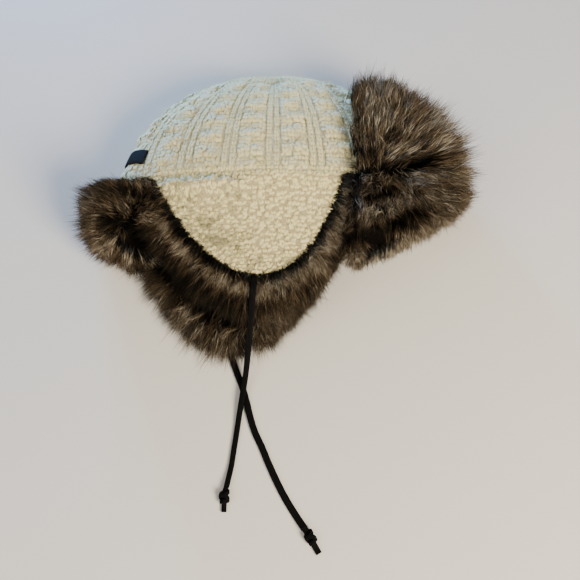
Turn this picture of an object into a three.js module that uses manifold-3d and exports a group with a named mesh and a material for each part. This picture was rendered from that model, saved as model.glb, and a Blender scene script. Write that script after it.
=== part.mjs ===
// A cable knit trapper hat lying on its left side: a hollow knit crown, two knit ear flaps,
// a turned-up fur visor, a fur nape, fur trims round both flaps, a small bare label and two
// flat leather laces that end in knots. Millimetres, +Z up, +X to the front of the hat, +Y to
// the top of the crown, so the head goes in from -Y.

import * as THREE from 'three';
import { mergeVertices } from 'three/addons/utils/BufferGeometryUtils.js';
import Module from 'manifold-3d';

const wasm = await Module();
wasm.setup();

// Where the hat's own frame sits: the middle of the hat's footprint without its laces.
const ORIGIN = { x: 3.8, y: 7.1 };

const SEAT = 0.35; // gap between two pieces that touch
const FUR_SEAT = 0.9; // gap between two bodies of fur

// The crown is half of an oval dome, flattened where it lies.
const CROWN = {
  back: 145, // from the dome's axis to the back of the rim
  front: 143, // from the axis to the front of the rim
  half: 43.7, // half of its thickness as it lies
  depth: 159, // from the rim to the top
  round: 2.3, // how square its sections are, 2 is an ellipse
  dome: 1.86, // how full the dome is, 2 is an ellipse
  lie: 0.85, // how high the axis lies where the section is full
  tip: 0.55, // and how high it stays at the top, which doesn't touch the table
  sag: 2.5, // how far the soft dome settles below its own round
  wall: 6, // knit and lining together
};
const KNIT = {
  panels: 16, // cable panels round the crown, with a narrow rib between two
  block: 1.5, // how far a cable stands proud
  rib: 0.5,
  furrow: -0.9,
  crossing: 23, // height of one cable crossing
  start: 9, // plain edge below the first crossing
  fade: 130, // the cables run out between these two heights
  end: 152,
};
const DENT = { x: -2, y: 130, reachX: 16, reachY: 18, depth: 7 };
const LABEL = { low: 27, high: 44, around: 172, reach: 26, thick: 1.6, seat: 0.75 };

// Ear flaps hang from the rim; the right one lies over the left one.
const FLAP_RIGHT = { centre: -23, drift: 10, half: 86, depth: 84, thick: 5, tip: 49 };
const FLAP_LEFT = { centre: -35, drift: 0, half: 80, depth: 104, thick: 5, tip: 0 };
const FLAP_TAPER = 1.1; // 2 is a half ellipse, 1 is a parabola
const FLAP_NARROW = 0.8; // how far an outline grown past the flap leans to its tip
const FALL = { bend: 1.7, beyond: 0.35 }; // how the right flap drops from the rim to its tip
const SHOULDER = { y: -12, reach: 9, rise: 4, starts: -112, full: -90, fades: -20, ends: 14 };
const HINGE_FUR = 0.35; // how much of its width the fur keeps at the ends of the hinge
const LACE_GAP = 8; // half of the space between locks where a lace comes out

// Flat leather laces.
const LACE = { width: 5.5, thick: 2.8 };

const LOOKS = {
  knit: { color: 0xd9ccb2, roughness: 0.95 },
  fur: { color: 0x4a3a2e, roughness: 0.9 },
  label: { color: 0x10141c, roughness: 0.6 },
  lace: { color: 0x0e0d0d, roughness: 0.55 },
};

const radians = (degrees) => (degrees * Math.PI) / 180;
const lerp = (a, b, t) => a + (b - a) * t;
const clamp = (v, low, high) => Math.min(high, Math.max(low, v));
const range = (count) => [...Array(count).keys()];

// Table rows as objects, one name for each column.
function named(columns, rows) {
  return rows.map((row) => Object.fromEntries(columns.map((name, i) => [name, row[i]])));
}

const smooth = (low, high, v) => {
  const t = clamp((v - low) / (high - low), 0, 1);
  return t * t * (3 - 2 * t);
};
const signedPower = (v, p) => Math.sign(v) * Math.abs(v) ** p;

// A repeatable scatter in 0..1, so that no two locks are alike.
function scatter(n) {
  const v = Math.sin(n * 12.9898) * 43758.5453;
  return v - Math.floor(v);
}

// Meshes from points and triangles, always facing outwards.
function closedGeometry(points, faces) {
  let volume = 0;
  for (const [a, b, c] of faces) {
    volume += points[a].dot(new THREE.Vector3().crossVectors(points[b], points[c]));
  }
  const index = volume < 0 ? faces.map(([a, b, c]) => [a, c, b]) : faces;
  const geometry = new THREE.BufferGeometry();
  geometry.setFromPoints(points);
  geometry.setIndex(index.flat());
  return geometry;
}

function toSolid(geometry) {
  const plain = geometry.clone();
  plain.deleteAttribute('normal');
  plain.deleteAttribute('uv');
  const merged = mergeVertices(plain, 1e-4);
  const vertProperties = new Float32Array(merged.attributes.position.array);
  const triVerts = new Uint32Array(merged.index.array);
  return new wasm.Manifold(new wasm.Mesh({ numProp: 3, vertProperties, triVerts }));
}

function toGeometry(solid) {
  const mesh = solid.getMesh();
  const geometry = new THREE.BufferGeometry();
  const positions = new Float32Array(mesh.vertProperties);
  geometry.setAttribute('position', new THREE.BufferAttribute(positions, 3));
  geometry.setIndex(new THREE.BufferAttribute(new Uint32Array(mesh.triVerts), 1));
  return geometry;
}

// A body through loops of equal length, closed by a fan at each end.
function loft(loops) {
  const count = loops[0].length;
  const points = loops.flat().map((p) => p.clone());
  const faces = [];
  for (let ring = 0; ring + 1 < loops.length; ring += 1) {
    for (let i = 0; i < count; i += 1) {
      const j = (i + 1) % count;
      const a = ring * count + i;
      const b = ring * count + j;
      faces.push([a, b, a + count], [b, b + count, a + count]);
    }
  }
  for (const ring of [0, loops.length - 1]) {
    const middle = new THREE.Vector3();
    loops[ring].forEach((p) => middle.addScaledVector(p, 1 / count));
    points.push(middle);
    for (let i = 0; i < count; i += 1) {
      const a = ring * count + i;
      const b = ring * count + ((i + 1) % count);
      faces.push(ring === 0 ? [b, a, points.length - 1] : [a, b, points.length - 1]);
    }
  }
  return closedGeometry(points, faces);
}

// Everything under the table is cut away, which leaves the flat underside.
function table() {
  const box = new THREE.BoxGeometry(900, 900, 100);
  box.translate(0, 0, -50);
  return toSolid(box);
}

// Crown: its sections, its surface and the relief of its cables.
const crownScale = (y) => (1 - clamp(y / CROWN.depth, 0, 1) ** CROWN.dome) ** (1 / CROWN.dome);
const crownAxis = (scale) => CROWN.half * Math.hypot(CROWN.lie * scale, CROWN.tip) - CROWN.sag;

// A point outside the crown by `out`, at height y and at an angle round it from the front.
function roundCrown(around, out, y) {
  const scale = crownScale(y);
  const reach = Math.cos(around) >= 0 ? CROWN.front : CROWN.back;
  const squeeze = 2 / CROWN.round;
  return new THREE.Vector3(
    (reach * scale + out) * signedPower(Math.cos(around), squeeze),
    y,
    crownAxis(scale) + (CROWN.half * scale + out) * signedPower(Math.sin(around), squeeze),
  );
}

// Angles that divide the rim into equal lengths, from the middle of the back all the way round.
function evenAngles(count) {
  const fineSteps = 2880;
  const fine = range(fineSteps + 1).map((i) => (i / fineSteps) * 2 * Math.PI - Math.PI);
  const rim = fine.map((around) => roundCrown(around, 0, 0));
  const way = [0];
  rim.slice(1).forEach((point, i) => way.push(way[i] + point.distanceTo(rim[i])));
  const shares = range(count).map((i) => (i / count) * way.at(-1));
  return shares.map((share) => fine[way.findIndex((length) => length >= share)]);
}

// The relief of the knit, at a turn round the crown from 0 to 1.
function knitRelief(turn, y) {
  const phase = (turn * KNIT.panels) % 1;
  const wave = Math.cos(((y - KNIT.start) / KNIT.crossing) * 2 * Math.PI);
  const cable = KNIT.block * lerp(0.3, 1, (1 - wave) / 2);
  const across = [KNIT.rib, KNIT.furrow, cable, KNIT.furrow, KNIT.rib];
  const step = Math.min(3, Math.floor(phase * 4));
  const relief = lerp(across[step], across[step + 1], phase * 4 - step);
  return relief * smooth(0, KNIT.start, y) * (1 - smooth(KNIT.fade, KNIT.end, y));
}

// The label's patch of the crown stays plain, so that the label lies flat on it.
function labelShade(around, y) {
  const turn = (around + 2 * Math.PI) % (2 * Math.PI);
  const offLabel = Math.abs(turn - radians(LABEL.around));
  const beside = 1 - smooth(radians(LABEL.reach + 3), radians(LABEL.reach + 18), offLabel);
  const below = smooth(LABEL.low - 16, LABEL.low - 6, y);
  const above = 1 - smooth(LABEL.high + 6, LABEL.high + 16, y);
  return beside * below * above;
}

function dentAt(point) {
  const across = ((point.x - DENT.x) / DENT.reachX) ** 2;
  const along = ((point.y - DENT.y) / DENT.reachY) ** 2;
  return DENT.depth * Math.exp(-across - along);
}

function crownSkin(around, turn, y, inset) {
  const relief = inset > 0 ? 0 : knitRelief(turn, y) * (1 - labelShade(around, y));
  const point = roundCrown(around, relief - inset, y);
  if (point.z > crownAxis(crownScale(y))) {
    point.z -= dentAt(point);
  }
  return point;
}

function crown() {
  const columns = KNIT.panels * 4;
  const outerRows = 12;
  const innerRows = 6;
  const innerDepth = CROWN.depth - CROWN.wall;
  const innerFit = 0.985; // keeps the flatter inner rows off the inner top
  const angles = evenAngles(columns);
  const points = [];
  const addRing = (y, inset) => {
    angles.forEach((around, i) => points.push(crownSkin(around, i / columns, y, inset)));
  };
  for (let row = 0; row < outerRows; row += 1) {
    const rise = Math.sin((row / outerRows) * (Math.PI / 2));
    addRing(CROWN.depth * rise, 0);
  }
  for (let row = innerRows - 1; row >= 0; row -= 1) {
    const rise = Math.sin((row / innerRows) * (Math.PI / 2));
    addRing(innerDepth * rise * innerFit, CROWN.wall);
  }
  const rings = outerRows + innerRows;
  const outerTop = points.push(new THREE.Vector3(0, CROWN.depth, crownAxis(0))) - 1;
  const innerTop = points.push(new THREE.Vector3(0, innerDepth, crownAxis(0))) - 1;
  const faces = [];
  for (let i = 0; i < columns; i += 1) {
    const j = (i + 1) % columns;
    for (let ring = 0; ring < rings; ring += 1) {
      const next = (ring + 1) % rings;
      if (ring === outerRows - 1) {
        faces.push([ring * columns + i, ring * columns + j, outerTop]);
        faces.push([next * columns + j, next * columns + i, innerTop]);
      } else {
        faces.push([ring * columns + i, ring * columns + j, next * columns + i]);
        faces.push([ring * columns + j, next * columns + j, next * columns + i]);
      }
    }
  }
  return toGeometry(toSolid(closedGeometry(points, faces)).subtract(table()));
}

// The dome and the rim's edge that the fur keeps clear of.
function crownRoom() {
  const columns = 40;
  const heights = [-SEAT, 30, 62, 90, 114, 134];
  const out = KNIT.block + 1.8;
  const angles = range(columns).map((i) => (i / columns) * 2 * Math.PI);
  return toSolid(loft(heights.map((y) => angles.map((around) => roundCrown(around, out, y)))));
}

// Ear flaps: half a blunt parabola that hangs from the rim.
function rimTop(x) {
  const reach = x >= 0 ? CROWN.front : CROWN.back;
  const along = clamp(Math.abs(x) / reach, 0, 0.985);
  const rise = (1 - along ** CROWN.round) ** (1 / CROWN.round);
  return crownAxis(1) + CROWN.half * rise;
}

function flapEdge(flap, angle) {
  const reach = Math.sin(angle) ** (2 / FLAP_TAPER);
  const x = flap.centre + flap.drift * reach + flap.half * Math.cos(angle);
  return new THREE.Vector2(x, -flap.depth * reach);
}

function flapOutward(angle) {
  return new THREE.Vector2(Math.cos(angle) * FLAP_NARROW, -Math.sin(angle)).normalize();
}

function rightFlapTop(x, y) {
  const t = -y / FLAP_RIGHT.depth;
  const fall = t < 1 ? 1 - (1 - t) ** FALL.bend : 1 + (t - 1) * FALL.beyond;
  const behind = smooth(SHOULDER.starts, SHOULDER.full, x);
  const before = 1 - smooth(SHOULDER.fades, SHOULDER.ends, x);
  const puff = behind * before * Math.exp(-(((y - SHOULDER.y) / SHOULDER.reach) ** 2));
  return lerp(rimTop(x), FLAP_RIGHT.tip, fall) + SHOULDER.rise * puff;
}

const leftFlapTop = () => FLAP_LEFT.thick;

// A body swept half round a flap. Each row of the profile is a ring: `inside` shrinks the
// flap's edge towards its hinge, `past` and then `extra` move it outwards, and `up` is its
// height over the knit, down to its `floor`.
function sweptFlap(flap, topAt, rows, hingeGap, columns) {
  const hinge = new THREE.Vector2(flap.centre, 0);
  const rayPoint = (angle, row) => {
    const open = Math.sin(angle) ** 0.6;
    const spread = row.past > 2 ? lerp(HINGE_FUR, 1, open) : 1;
    const flat = hinge.clone().lerp(flapEdge(flap, angle), row.inside);
    flat.addScaledVector(flapOutward(angle), row.past * spread);
    flat.y = Math.min(flat.y, 0);
    const height = Math.max(topAt(flat.x, flat.y) + row.up, row.floor);
    flat.addScaledVector(flapOutward(angle), row.extra);
    return new THREE.Vector3(flat.x, flat.y - hingeGap, height);
  };
  const ringRows = rows.slice(1, -1);
  const points = [];
  for (let i = 0; i <= columns; i += 1) {
    const angle = (i / columns) * Math.PI;
    ringRows.forEach((row) => points.push(rayPoint(angle, row)));
  }
  const count = ringRows.length;
  const over = points.push(rayPoint(Math.PI / 2, rows[0])) - 1;
  const under = points.push(rayPoint(Math.PI / 2, rows[rows.length - 1])) - 1;
  const faces = [];
  for (let i = 0; i < columns; i += 1) {
    const a = i * count;
    const b = a + count;
    faces.push([over, a, b]);
    for (let row = 0; row + 1 < count; row += 1) {
      faces.push([a + row, a + row + 1, b + row], [a + row + 1, b + row + 1, b + row]);
    }
    faces.push([under, b + count - 1, a + count - 1]);
  }
  for (const [start, along] of [[0, -1], [columns * count, 1]]) {
    const ids = [over, ...ringRows.map((row, n) => start + n), under];
    const outline = ids.map((id) => new THREE.Vector2(points[id].x, points[id].z));
    const facing = Math.sign(THREE.ShapeUtils.area(outline)) * along;
    for (const corners of THREE.ShapeUtils.triangulateShape(outline, [])) {
      const turn = Math.sign(THREE.ShapeUtils.area(corners.map((c) => outline[c])));
      const face = corners.map((c) => ids[c]);
      faces.push(turn === facing ? face : face.reverse());
    }
  }
  return closedGeometry(points, faces);
}

// Profiles of a knit flap, of the fur under the right one and of the fur over the left one.
const profile = (rows, floor = 0) => named(['inside', 'past', 'up'], rows).map((row) => ({
  ...row,
  extra: 0,
  floor,
}));
const knitProfile = (thick) => profile([
  [0, 0, 0],
  [0.4, 0, 0],
  [0.75, 0, 0],
  [0.97, 0, -0.2],
  [1, 0, -1.8],
  [1, 0, 1 - thick],
  [0.97, 0, -thick],
  [0.75, 0, -thick],
  [0.4, 0, -thick],
  [0, 0, -thick],
]);
const RIGHT_TRIM = profile([
  [0, 0, -5.9],
  [0.4, 0, -7],
  [0.75, 0, -7.4],
  [0.97, 0, -5.8],
  [1, 0.7, -5.6],
  [1, 0.7, 0.5],
  [1, 8, 4],
  [1, 18, 0],
  [1, 24, -8],
  [1, 17, -16],
  [1, 4, -17],
  [0.6, 0, -15],
  [0, 0, -15],
]);
const LEFT_TRIM = profile([
  [0, 0, 9],
  [0.6, 0, 9],
  [1, 8, 11],
  [1, 20, 9],
  [1, 27, 3],
  [1, 24, -5],
  [1, 0.5, -5],
  [1, 0.5, 0.5],
  [0.6, 0, 0.5],
  [0, 0, 0.5],
]);

// One lock of hair: a four-sided spike with a drooping tip.
function lock(root, heading, length, radius, droop) {
  const along = heading.clone().normalize();
  const side = new THREE.Vector3(0.3, 0.2, 1).cross(along).normalize();
  const up = along.clone().cross(side);
  const sides = 4;
  const rings = [
    { at: -0.3, size: 1 },
    { at: 0.45, size: 0.66 },
  ];
  const points = [];
  for (const ring of rings) {
    for (let i = 0; i < sides; i += 1) {
      const turn = (i / sides) * 2 * Math.PI;
      const point = root.clone().addScaledVector(along, ring.at * length);
      point.addScaledVector(side, Math.cos(turn) * radius * ring.size);
      points.push(point.addScaledVector(up, Math.sin(turn) * radius * ring.size));
    }
  }
  const foot = points.push(root.clone().addScaledVector(along, rings[0].at * length)) - 1;
  const end = root.clone().addScaledVector(along, length);
  const tip = points.push(end.setZ(end.z - droop)) - 1;
  const faces = [];
  for (let i = 0; i < sides; i += 1) {
    const j = (i + 1) % sides;
    faces.push([i, j, sides + i], [j, sides + j, sides + i], [j, i, foot], [sides + i, sides + j, tip]);
  }
  return toSolid(closedGeometry(points, faces));
}

const fuse = (solids) => solids.reduce((whole, next) => whole.add(next));

// Locks along the edge of a flap's fur, with none over its lace.
function flapLocks(flap, topAt, rows, laceX) {
  const locks = [];
  for (const row of rows) {
    for (let i = 0; i < row.count; i += 1) {
      const seed = i + row.count * 3;
      const angle = radians(lerp(row.from, row.to, (i + 0.5 * scatter(seed)) / (row.count - 0.5)));
      const outward = flapOutward(angle);
      const spot = flapEdge(flap, angle).addScaledVector(outward, row.past);
      if (Math.abs(spot.x - laceX) < LACE_GAP) {
        continue;
      }
      const height = Math.max(topAt(spot.x, spot.y) + row.up, row.lowest);
      const root = new THREE.Vector3(spot.x, spot.y, height);
      const heading = new THREE.Vector3(outward.x, outward.y, row.tilt + 0.2 * (scatter(seed + 7) - 0.5));
      const length = row.length * (0.85 + 0.3 * scatter(seed + 3));
      locks.push(lock(root, heading, length, row.radius, row.droop));
    }
  }
  return locks;
}

// Fur that rolls round the rim, lofted through stations round the crown.
function lobe(stations, rows) {
  return loft(stations.map((station) => rows.map((row) => {
    const out = row.out * station.bulge + row.gap - row.inner * station.inner;
    const y = (row.rise >= 0 ? row.rise * station.top : -row.rise * station.low) + row.lift;
    return roundCrown(radians(station.around), out, y);
  })));
}

function stationAt(stations, around) {
  const ordered = stations[0].around < stations[1].around ? stations : stations.slice().reverse();
  const next = clamp(ordered.findIndex((s) => s.around > around), 1, ordered.length - 1);
  const [a, b] = [ordered[next - 1], ordered[next]];
  const t = clamp((around - a.around) / (b.around - a.around), 0, 1);
  return { top: lerp(a.top, b.top, t), low: lerp(a.low, b.low, t), bulge: lerp(a.bulge, b.bulge, t) };
}

function lobeLocks(stations, rows) {
  const locks = [];
  for (const row of rows) {
    for (let i = 0; i < row.count; i += 1) {
      const seed = i + row.count * 5 + row.rise * 11;
      const around = lerp(row.from, row.to, (i + 0.6 * scatter(seed)) / (row.count - 0.4));
      const station = stationAt(stations, around);
      const y = row.rise >= 0 ? row.rise * station.top : -row.rise * station.low;
      const root = roundCrown(radians(around), row.out * station.bulge, y);
      const beyond = roundCrown(radians(around), row.out * station.bulge + 10, y);
      const heading = beyond.sub(root).normalize().multiplyScalar(row.outward);
      heading.y += row.climb + 0.25 * (scatter(seed + 2) - 0.5);
      const length = row.length * (0.85 + 0.3 * scatter(seed + 1));
      locks.push(lock(root, heading, length, row.radius, row.droop));
    }
  }
  return locks;
}

// Visor: turned up against the front of the crown, its fur outwards.
const STATION = ['around', 'top', 'low', 'bulge', 'inner'];
const VISOR = named(STATION, [
  [63, 30, -42, 11, 3],
  [55, 104, -52, 19, 3],
  [40, 114, -50, 30, 3],
  [20, 109, -30, 38, 3],
  [0, 94, -12, 35, 3],
  [-18, 78, -10, 29, 6],
  [-38, 60, -28, 24, 12],
  [-64, 36, -54, 17, 16],
]);
const LOBE_ROW = ['out', 'gap', 'inner', 'rise', 'lift'];
const VISOR_PROFILE = named(LOBE_ROW, [
  [0, 0, 1, 0, -SEAT],
  [0, 3.4, 0, 0, -SEAT],
  [0, 4, 0, 0.45, 0],
  [0.08, 5, 0, 0.82, 0],
  [0.28, 5, 0, 1, 0],
  [0.65, 3, 0, 0.84, 0],
  [0.9, 1, 0, 0.52, 0],
  [1, 0, 0, 0.2, 0],
  [0.86, 0, 0, -0.35, 0],
  [0.42, 0, 0, -0.92, 0],
  [0, 0, 0.7, -1, 0],
  [0, 0, 1, -0.45, 0],
]);
const LOBE_LOCK = [
  'from', 'to', 'count', 'out', 'rise', 'outward', 'climb', 'length', 'radius', 'droop',
];
const VISOR_LOCKS = named(LOBE_LOCK, [
  [54, -34, 9, 0.35, 0.93, 0.5, 1, 20, 8, 1],
  [54, -34, 8, 0.78, 0.64, 1, 0.7, 19, 9, 1],
  [48, -34, 7, 0.94, 0.2, 1, 0.15, 18, 9, 2],
  [54, -48, 9, 0.74, -0.5, 1, -0.7, 17, 8, 2],
  [56, -58, 9, 0.3, -0.85, 0.3, -1, 14, 7, 1],
]);

// Nape: the fur that stands out behind the rim.
const NAPE = named(STATION, [
  [133, 0, -30, 11, 3],
  [146, 1, -42, 19, 3],
  [162, 2, -46, 26, 3],
  [180, 4, -47, 28, 4],
  [198, 6, -49, 27, 8],
  [216, 8, -54, 21, 12],
  [236, 6, -56, 12, 15],
]);
const NAPE_PROFILE = named(LOBE_ROW, [
  [0, 0, 1, 0, -SEAT],
  [0, 2.6, 0, 0, -SEAT],
  [0.12, 2.8, 0, 1, 0],
  [0.5, 0, 0, 0.2, 0],
  [0.86, 0, 0, -0.2, 0],
  [1, 0, 0, -0.45, 0],
  [0.74, 0, 0, -0.85, 0],
  [0.25, 0, 0, -1, 0],
  [0, 0, 0.8, -0.9, 0],
  [0, 0, 1, -0.4, 0],
]);
const NAPE_LOCKS = named(LOBE_LOCK, [
  [142, 214, 8, 0.66, -0.06, 1, 0.12, 17, 8, 1],
  [142, 218, 9, 0.9, -0.35, 1, -0.1, 17, 8, 2],
  [144, 214, 8, 0.7, -0.78, 1, -0.9, 16, 8, 2],
]);

const RIGHT_LACE_X = -18.5;
const LEFT_LACE_X = -22.5;
const TRIM_LOCK = ['from', 'to', 'count', 'past', 'up', 'tilt', 'length', 'radius', 'droop', 'lowest'];
const RIGHT_TRIM_LOCKS = named(TRIM_LOCK, [
  [16, 164, 16, 17, -4, -0.1, 18, 7, 3, 8],
  [20, 160, 13, 15, -10, -0.1, 17, 6, 2, 8],
]);
const LEFT_TRIM_LOCKS = named(TRIM_LOCK, [
  [12, 168, 17, 18, 3, -0.1, 21, 7, 1, 0],
  [16, 164, 13, 18, -2, -0.05, 20, 6, 0, 0],
]);

// The laces' routes, from the tips of the flaps to their knots.
const LACE_RIGHT = [
  [-15.8, -85.4, 52],
  [-17, -93, 54.9],
  [-17.6, -101, 53.9],
  [-18.6, -111, 48.4],
  [-19.8, -121, 39.2],
  [-21, -131, 30.4],
  [-22.2, -142, 22],
  [-23.6, -153, 13.4],
  [-25, -163, 7.6],
  [-26.6, -174, 5.4],
  [-28.2, -186, 4.9],
  [-30, -198, 2.6],
  [-31.6, -211, 1.6],
  [-33.4, -225, 1.6],
  [-35.2, -239, 1.6],
  [-37.2, -250, 2.6],
  [-38.6, -257, 3.8],
];
const LACE_LEFT = [
  [-36.3, -105, 1.7],
  [-38.5, -115, 1.6],
  [-40, -125, 1.6],
  [-40.4, -134, 1.6],
  [-37, -146, 1.6],
  [-32.6, -158, 1.6],
  [-27.6, -171, 1.6],
  [-23.6, -184, 1.6],
  [-20, -198, 1.6],
  [-15.6, -211, 1.6],
  [-9.4, -224, 1.6],
  [-3.4, -238, 1.6],
  [3.2, -252, 1.6],
  [10.6, -266, 1.6],
  [19.4, -280, 1.7],
  [26.8, -290.8, 3.8],
];
const TAIL_RIGHT = [[-40.2, -265, 3.6], [-40.2, -277.5, 1.6]];
const TAIL_LEFT = [[31.2, -297.5, 3.6], [38.5, -310, 1.6]];

const vectors = (rows) => rows.map(([x, y, z]) => new THREE.Vector3(x, y, z));

// A flat lace, laid along its route with its width level.
function laceGeometry(route, width, thick, steps) {
  const curve = new THREE.CatmullRomCurve3(vectors(route), false, 'centripetal');
  const sides = 8;
  const loops = [];
  for (let step = 0; step <= steps; step += 1) {
    const middle = curve.getPointAt(step / steps);
    const along = curve.getTangentAt(step / steps);
    const across = new THREE.Vector3(0, 0, 1).cross(along).normalize();
    const up = along.clone().cross(across);
    const loop = [];
    for (let i = 0; i < sides; i += 1) {
      const turn = ((i + 0.5) / sides) * 2 * Math.PI;
      const wide = signedPower(Math.cos(turn), 0.5) * (width / 2);
      const high = signedPower(Math.sin(turn), 0.5) * (thick / 2);
      loop.push(middle.clone().addScaledVector(across, wide).addScaledVector(up, high));
    }
    loops.push(loop);
  }
  return loft(loops);
}

// An overhand knot pulled tight: three slanted turns round the lace, with its short tail.
function knotGeometry(tail) {
  const [middle, end] = vectors(tail);
  const along = end.clone().sub(middle).setZ(0).normalize();
  const heading = Math.atan2(along.y, along.x);
  const turns = [
    { shift: -3, slant: 25, long: 4.6, wide: 5.4, high: 3.7 },
    { shift: 0.5, slant: -30, long: 5, wide: 5.6, high: 4.2 },
    { shift: 3.6, slant: 20, long: 3.8, wide: 4.6, high: 3.5 },
  ];
  const seat = 0.1;
  const lumps = turns.map((turn) => {
    const lump = new THREE.SphereGeometry(1, 7, 5);
    lump.scale(turn.long, turn.wide, turn.high);
    lump.rotateZ(heading + radians(turn.slant));
    const centre = middle.clone().addScaledVector(along, turn.shift);
    lump.translate(centre.x, centre.y, turn.high + seat);
    return toSolid(lump);
  });
  const start = middle.clone().addScaledVector(along, 2);
  const strand = [start.toArray(), end.clone().lerp(start, 0.4).setZ(2.2).toArray(), end.toArray()];
  return toGeometry(fuse([...lumps, toSolid(laceGeometry(strand, LACE.width, LACE.thick, 4))]));
}

function labelGeometry() {
  const steps = 10;
  const heights = [0, 0.5, 1].map((t) => lerp(LABEL.low, LABEL.high, t));
  const loops = range(steps + 1).map((step) => {
    const around = radians(LABEL.around + LABEL.reach * ((2 * step) / steps - 1));
    const inner = heights.map((y) => roundCrown(around, LABEL.seat, y));
    const outer = heights.map((y) => roundCrown(around, LABEL.seat + LABEL.thick, y));
    return [...inner, ...outer.reverse()];
  });
  return loft(loops);
}

// A profile grown all round by `by` millimetres, for the room that a neighbour keeps clear of.
// The rows beside the knit can't move sideways, so they grow more in height.
const grow = (rows, middle, by) => rows.map((row) => ({
  inside: row.inside,
  past: row.past > 1 ? row.past : 0,
  extra: row.past > 1 ? by : 0,
  up: row.up + Math.sign(row.up - middle) * (row.past > 1 ? by : by * 2.5),
  floor: -by,
}));
const growLocks = (rows, by) => rows.map((row) => ({
  ...row,
  radius: row.radius + by,
  length: row.length + by,
}));

// A knit flap with room round it, which the fur beside it keeps clear of.
function flapRoom(flap, topAt, columns) {
  const over = FUR_SEAT;
  const under = -flap.thick - FUR_SEAT;
  const slab = profile([
    [0, 0, over],
    [0.4, 0, over],
    [0.75, 0, over],
    [1, FUR_SEAT, over],
    [1, FUR_SEAT, under],
    [0.75, 0, under],
    [0.4, 0, under],
    [0, 0, under],
  ], under);
  return toSolid(sweptFlap(flap, topAt, slab, SEAT - FUR_SEAT, columns));
}

const RIGHT_COLUMNS = 20;
const LEFT_COLUMNS = 18;

function rightTrimSolid(by) {
  const rows = by > 0 ? grow(RIGHT_TRIM, -8, by) : RIGHT_TRIM;
  const roll = sweptFlap(FLAP_RIGHT, rightFlapTop, rows, SEAT - by, RIGHT_COLUMNS);
  const locks = flapLocks(FLAP_RIGHT, rightFlapTop, growLocks(RIGHT_TRIM_LOCKS, by), RIGHT_LACE_X);
  return fuse([toSolid(roll), ...locks]);
}

function leftTrimSolid(by) {
  const rows = by > 0 ? grow(LEFT_TRIM, 1, by) : LEFT_TRIM;
  const roll = sweptFlap(FLAP_LEFT, leftFlapTop, rows, SEAT - by, LEFT_COLUMNS);
  const locks = flapLocks(FLAP_LEFT, leftFlapTop, growLocks(LEFT_TRIM_LOCKS, by), LEFT_LACE_X);
  return fuse([toSolid(roll), ...locks]);
}

// The left lace leaves its flap through a slot under the fur.
function laceSlot() {
  const route = [[-35.9, -103.2, 1.7], ...LACE_LEFT.slice(0, 7)];
  return toSolid(laceGeometry(route, LACE.width + 1.4, LACE.thick + 1.6, 9));
}

const floor = table();
const flapsRoom = fuse([
  crownRoom(),
  rightTrimSolid(FUR_SEAT),
  leftTrimSolid(FUR_SEAT),
  flapRoom(FLAP_RIGHT, rightFlapTop, RIGHT_COLUMNS),
  flapRoom(FLAP_LEFT, leftFlapTop, LEFT_COLUMNS),
  floor,
]);
const visorSolid = fuse([toSolid(lobe(VISOR, VISOR_PROFILE)), ...lobeLocks(VISOR, VISOR_LOCKS)]);
const napeSolid = fuse([toSolid(lobe(NAPE, NAPE_PROFILE)), ...lobeLocks(NAPE, NAPE_LOCKS)]);
const knitFlap = (flap, topAt, columns) => sweptFlap(flap, topAt, knitProfile(flap.thick), SEAT, columns);

const pieces = [
  { name: 'crown', slot: 'knit', geometry: crown() },
  { name: 'ear_flap_right', slot: 'knit', geometry: knitFlap(FLAP_RIGHT, rightFlapTop, RIGHT_COLUMNS) },
  { name: 'ear_flap_left', slot: 'knit', geometry: knitFlap(FLAP_LEFT, leftFlapTop, LEFT_COLUMNS) },
  { name: 'fur_trim_right', slot: 'fur', geometry: toGeometry(rightTrimSolid(0).subtract(floor)) },
  {
    name: 'fur_trim_left',
    slot: 'fur',
    geometry: toGeometry(leftTrimSolid(0).subtract(floor).subtract(laceSlot())),
  },
  { name: 'fur_visor', slot: 'fur', geometry: toGeometry(visorSolid.subtract(flapsRoom)) },
  { name: 'fur_nape', slot: 'fur', geometry: toGeometry(napeSolid.subtract(flapsRoom)) },
  { name: 'label', slot: 'label', geometry: labelGeometry() },
  { name: 'lace_right', slot: 'lace', geometry: laceGeometry(LACE_RIGHT, LACE.width, LACE.thick, 17) },
  { name: 'lace_left', slot: 'lace', geometry: laceGeometry(LACE_LEFT, LACE.width, LACE.thick, 19) },
  { name: 'knot_right', slot: 'lace', geometry: knotGeometry(TAIL_RIGHT) },
  { name: 'knot_left', slot: 'lace', geometry: knotGeometry(TAIL_LEFT) },
];

const hat = new THREE.Group();
hat.position.set(-ORIGIN.x, -ORIGIN.y, 0);
for (const piece of pieces) {
  const material = new THREE.MeshStandardMaterial({ ...LOOKS[piece.slot], metalness: 0 });
  const mesh = new THREE.Mesh(piece.geometry, material);
  mesh.name = piece.name;
  hat.add(mesh);
}

export default hat;
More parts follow.
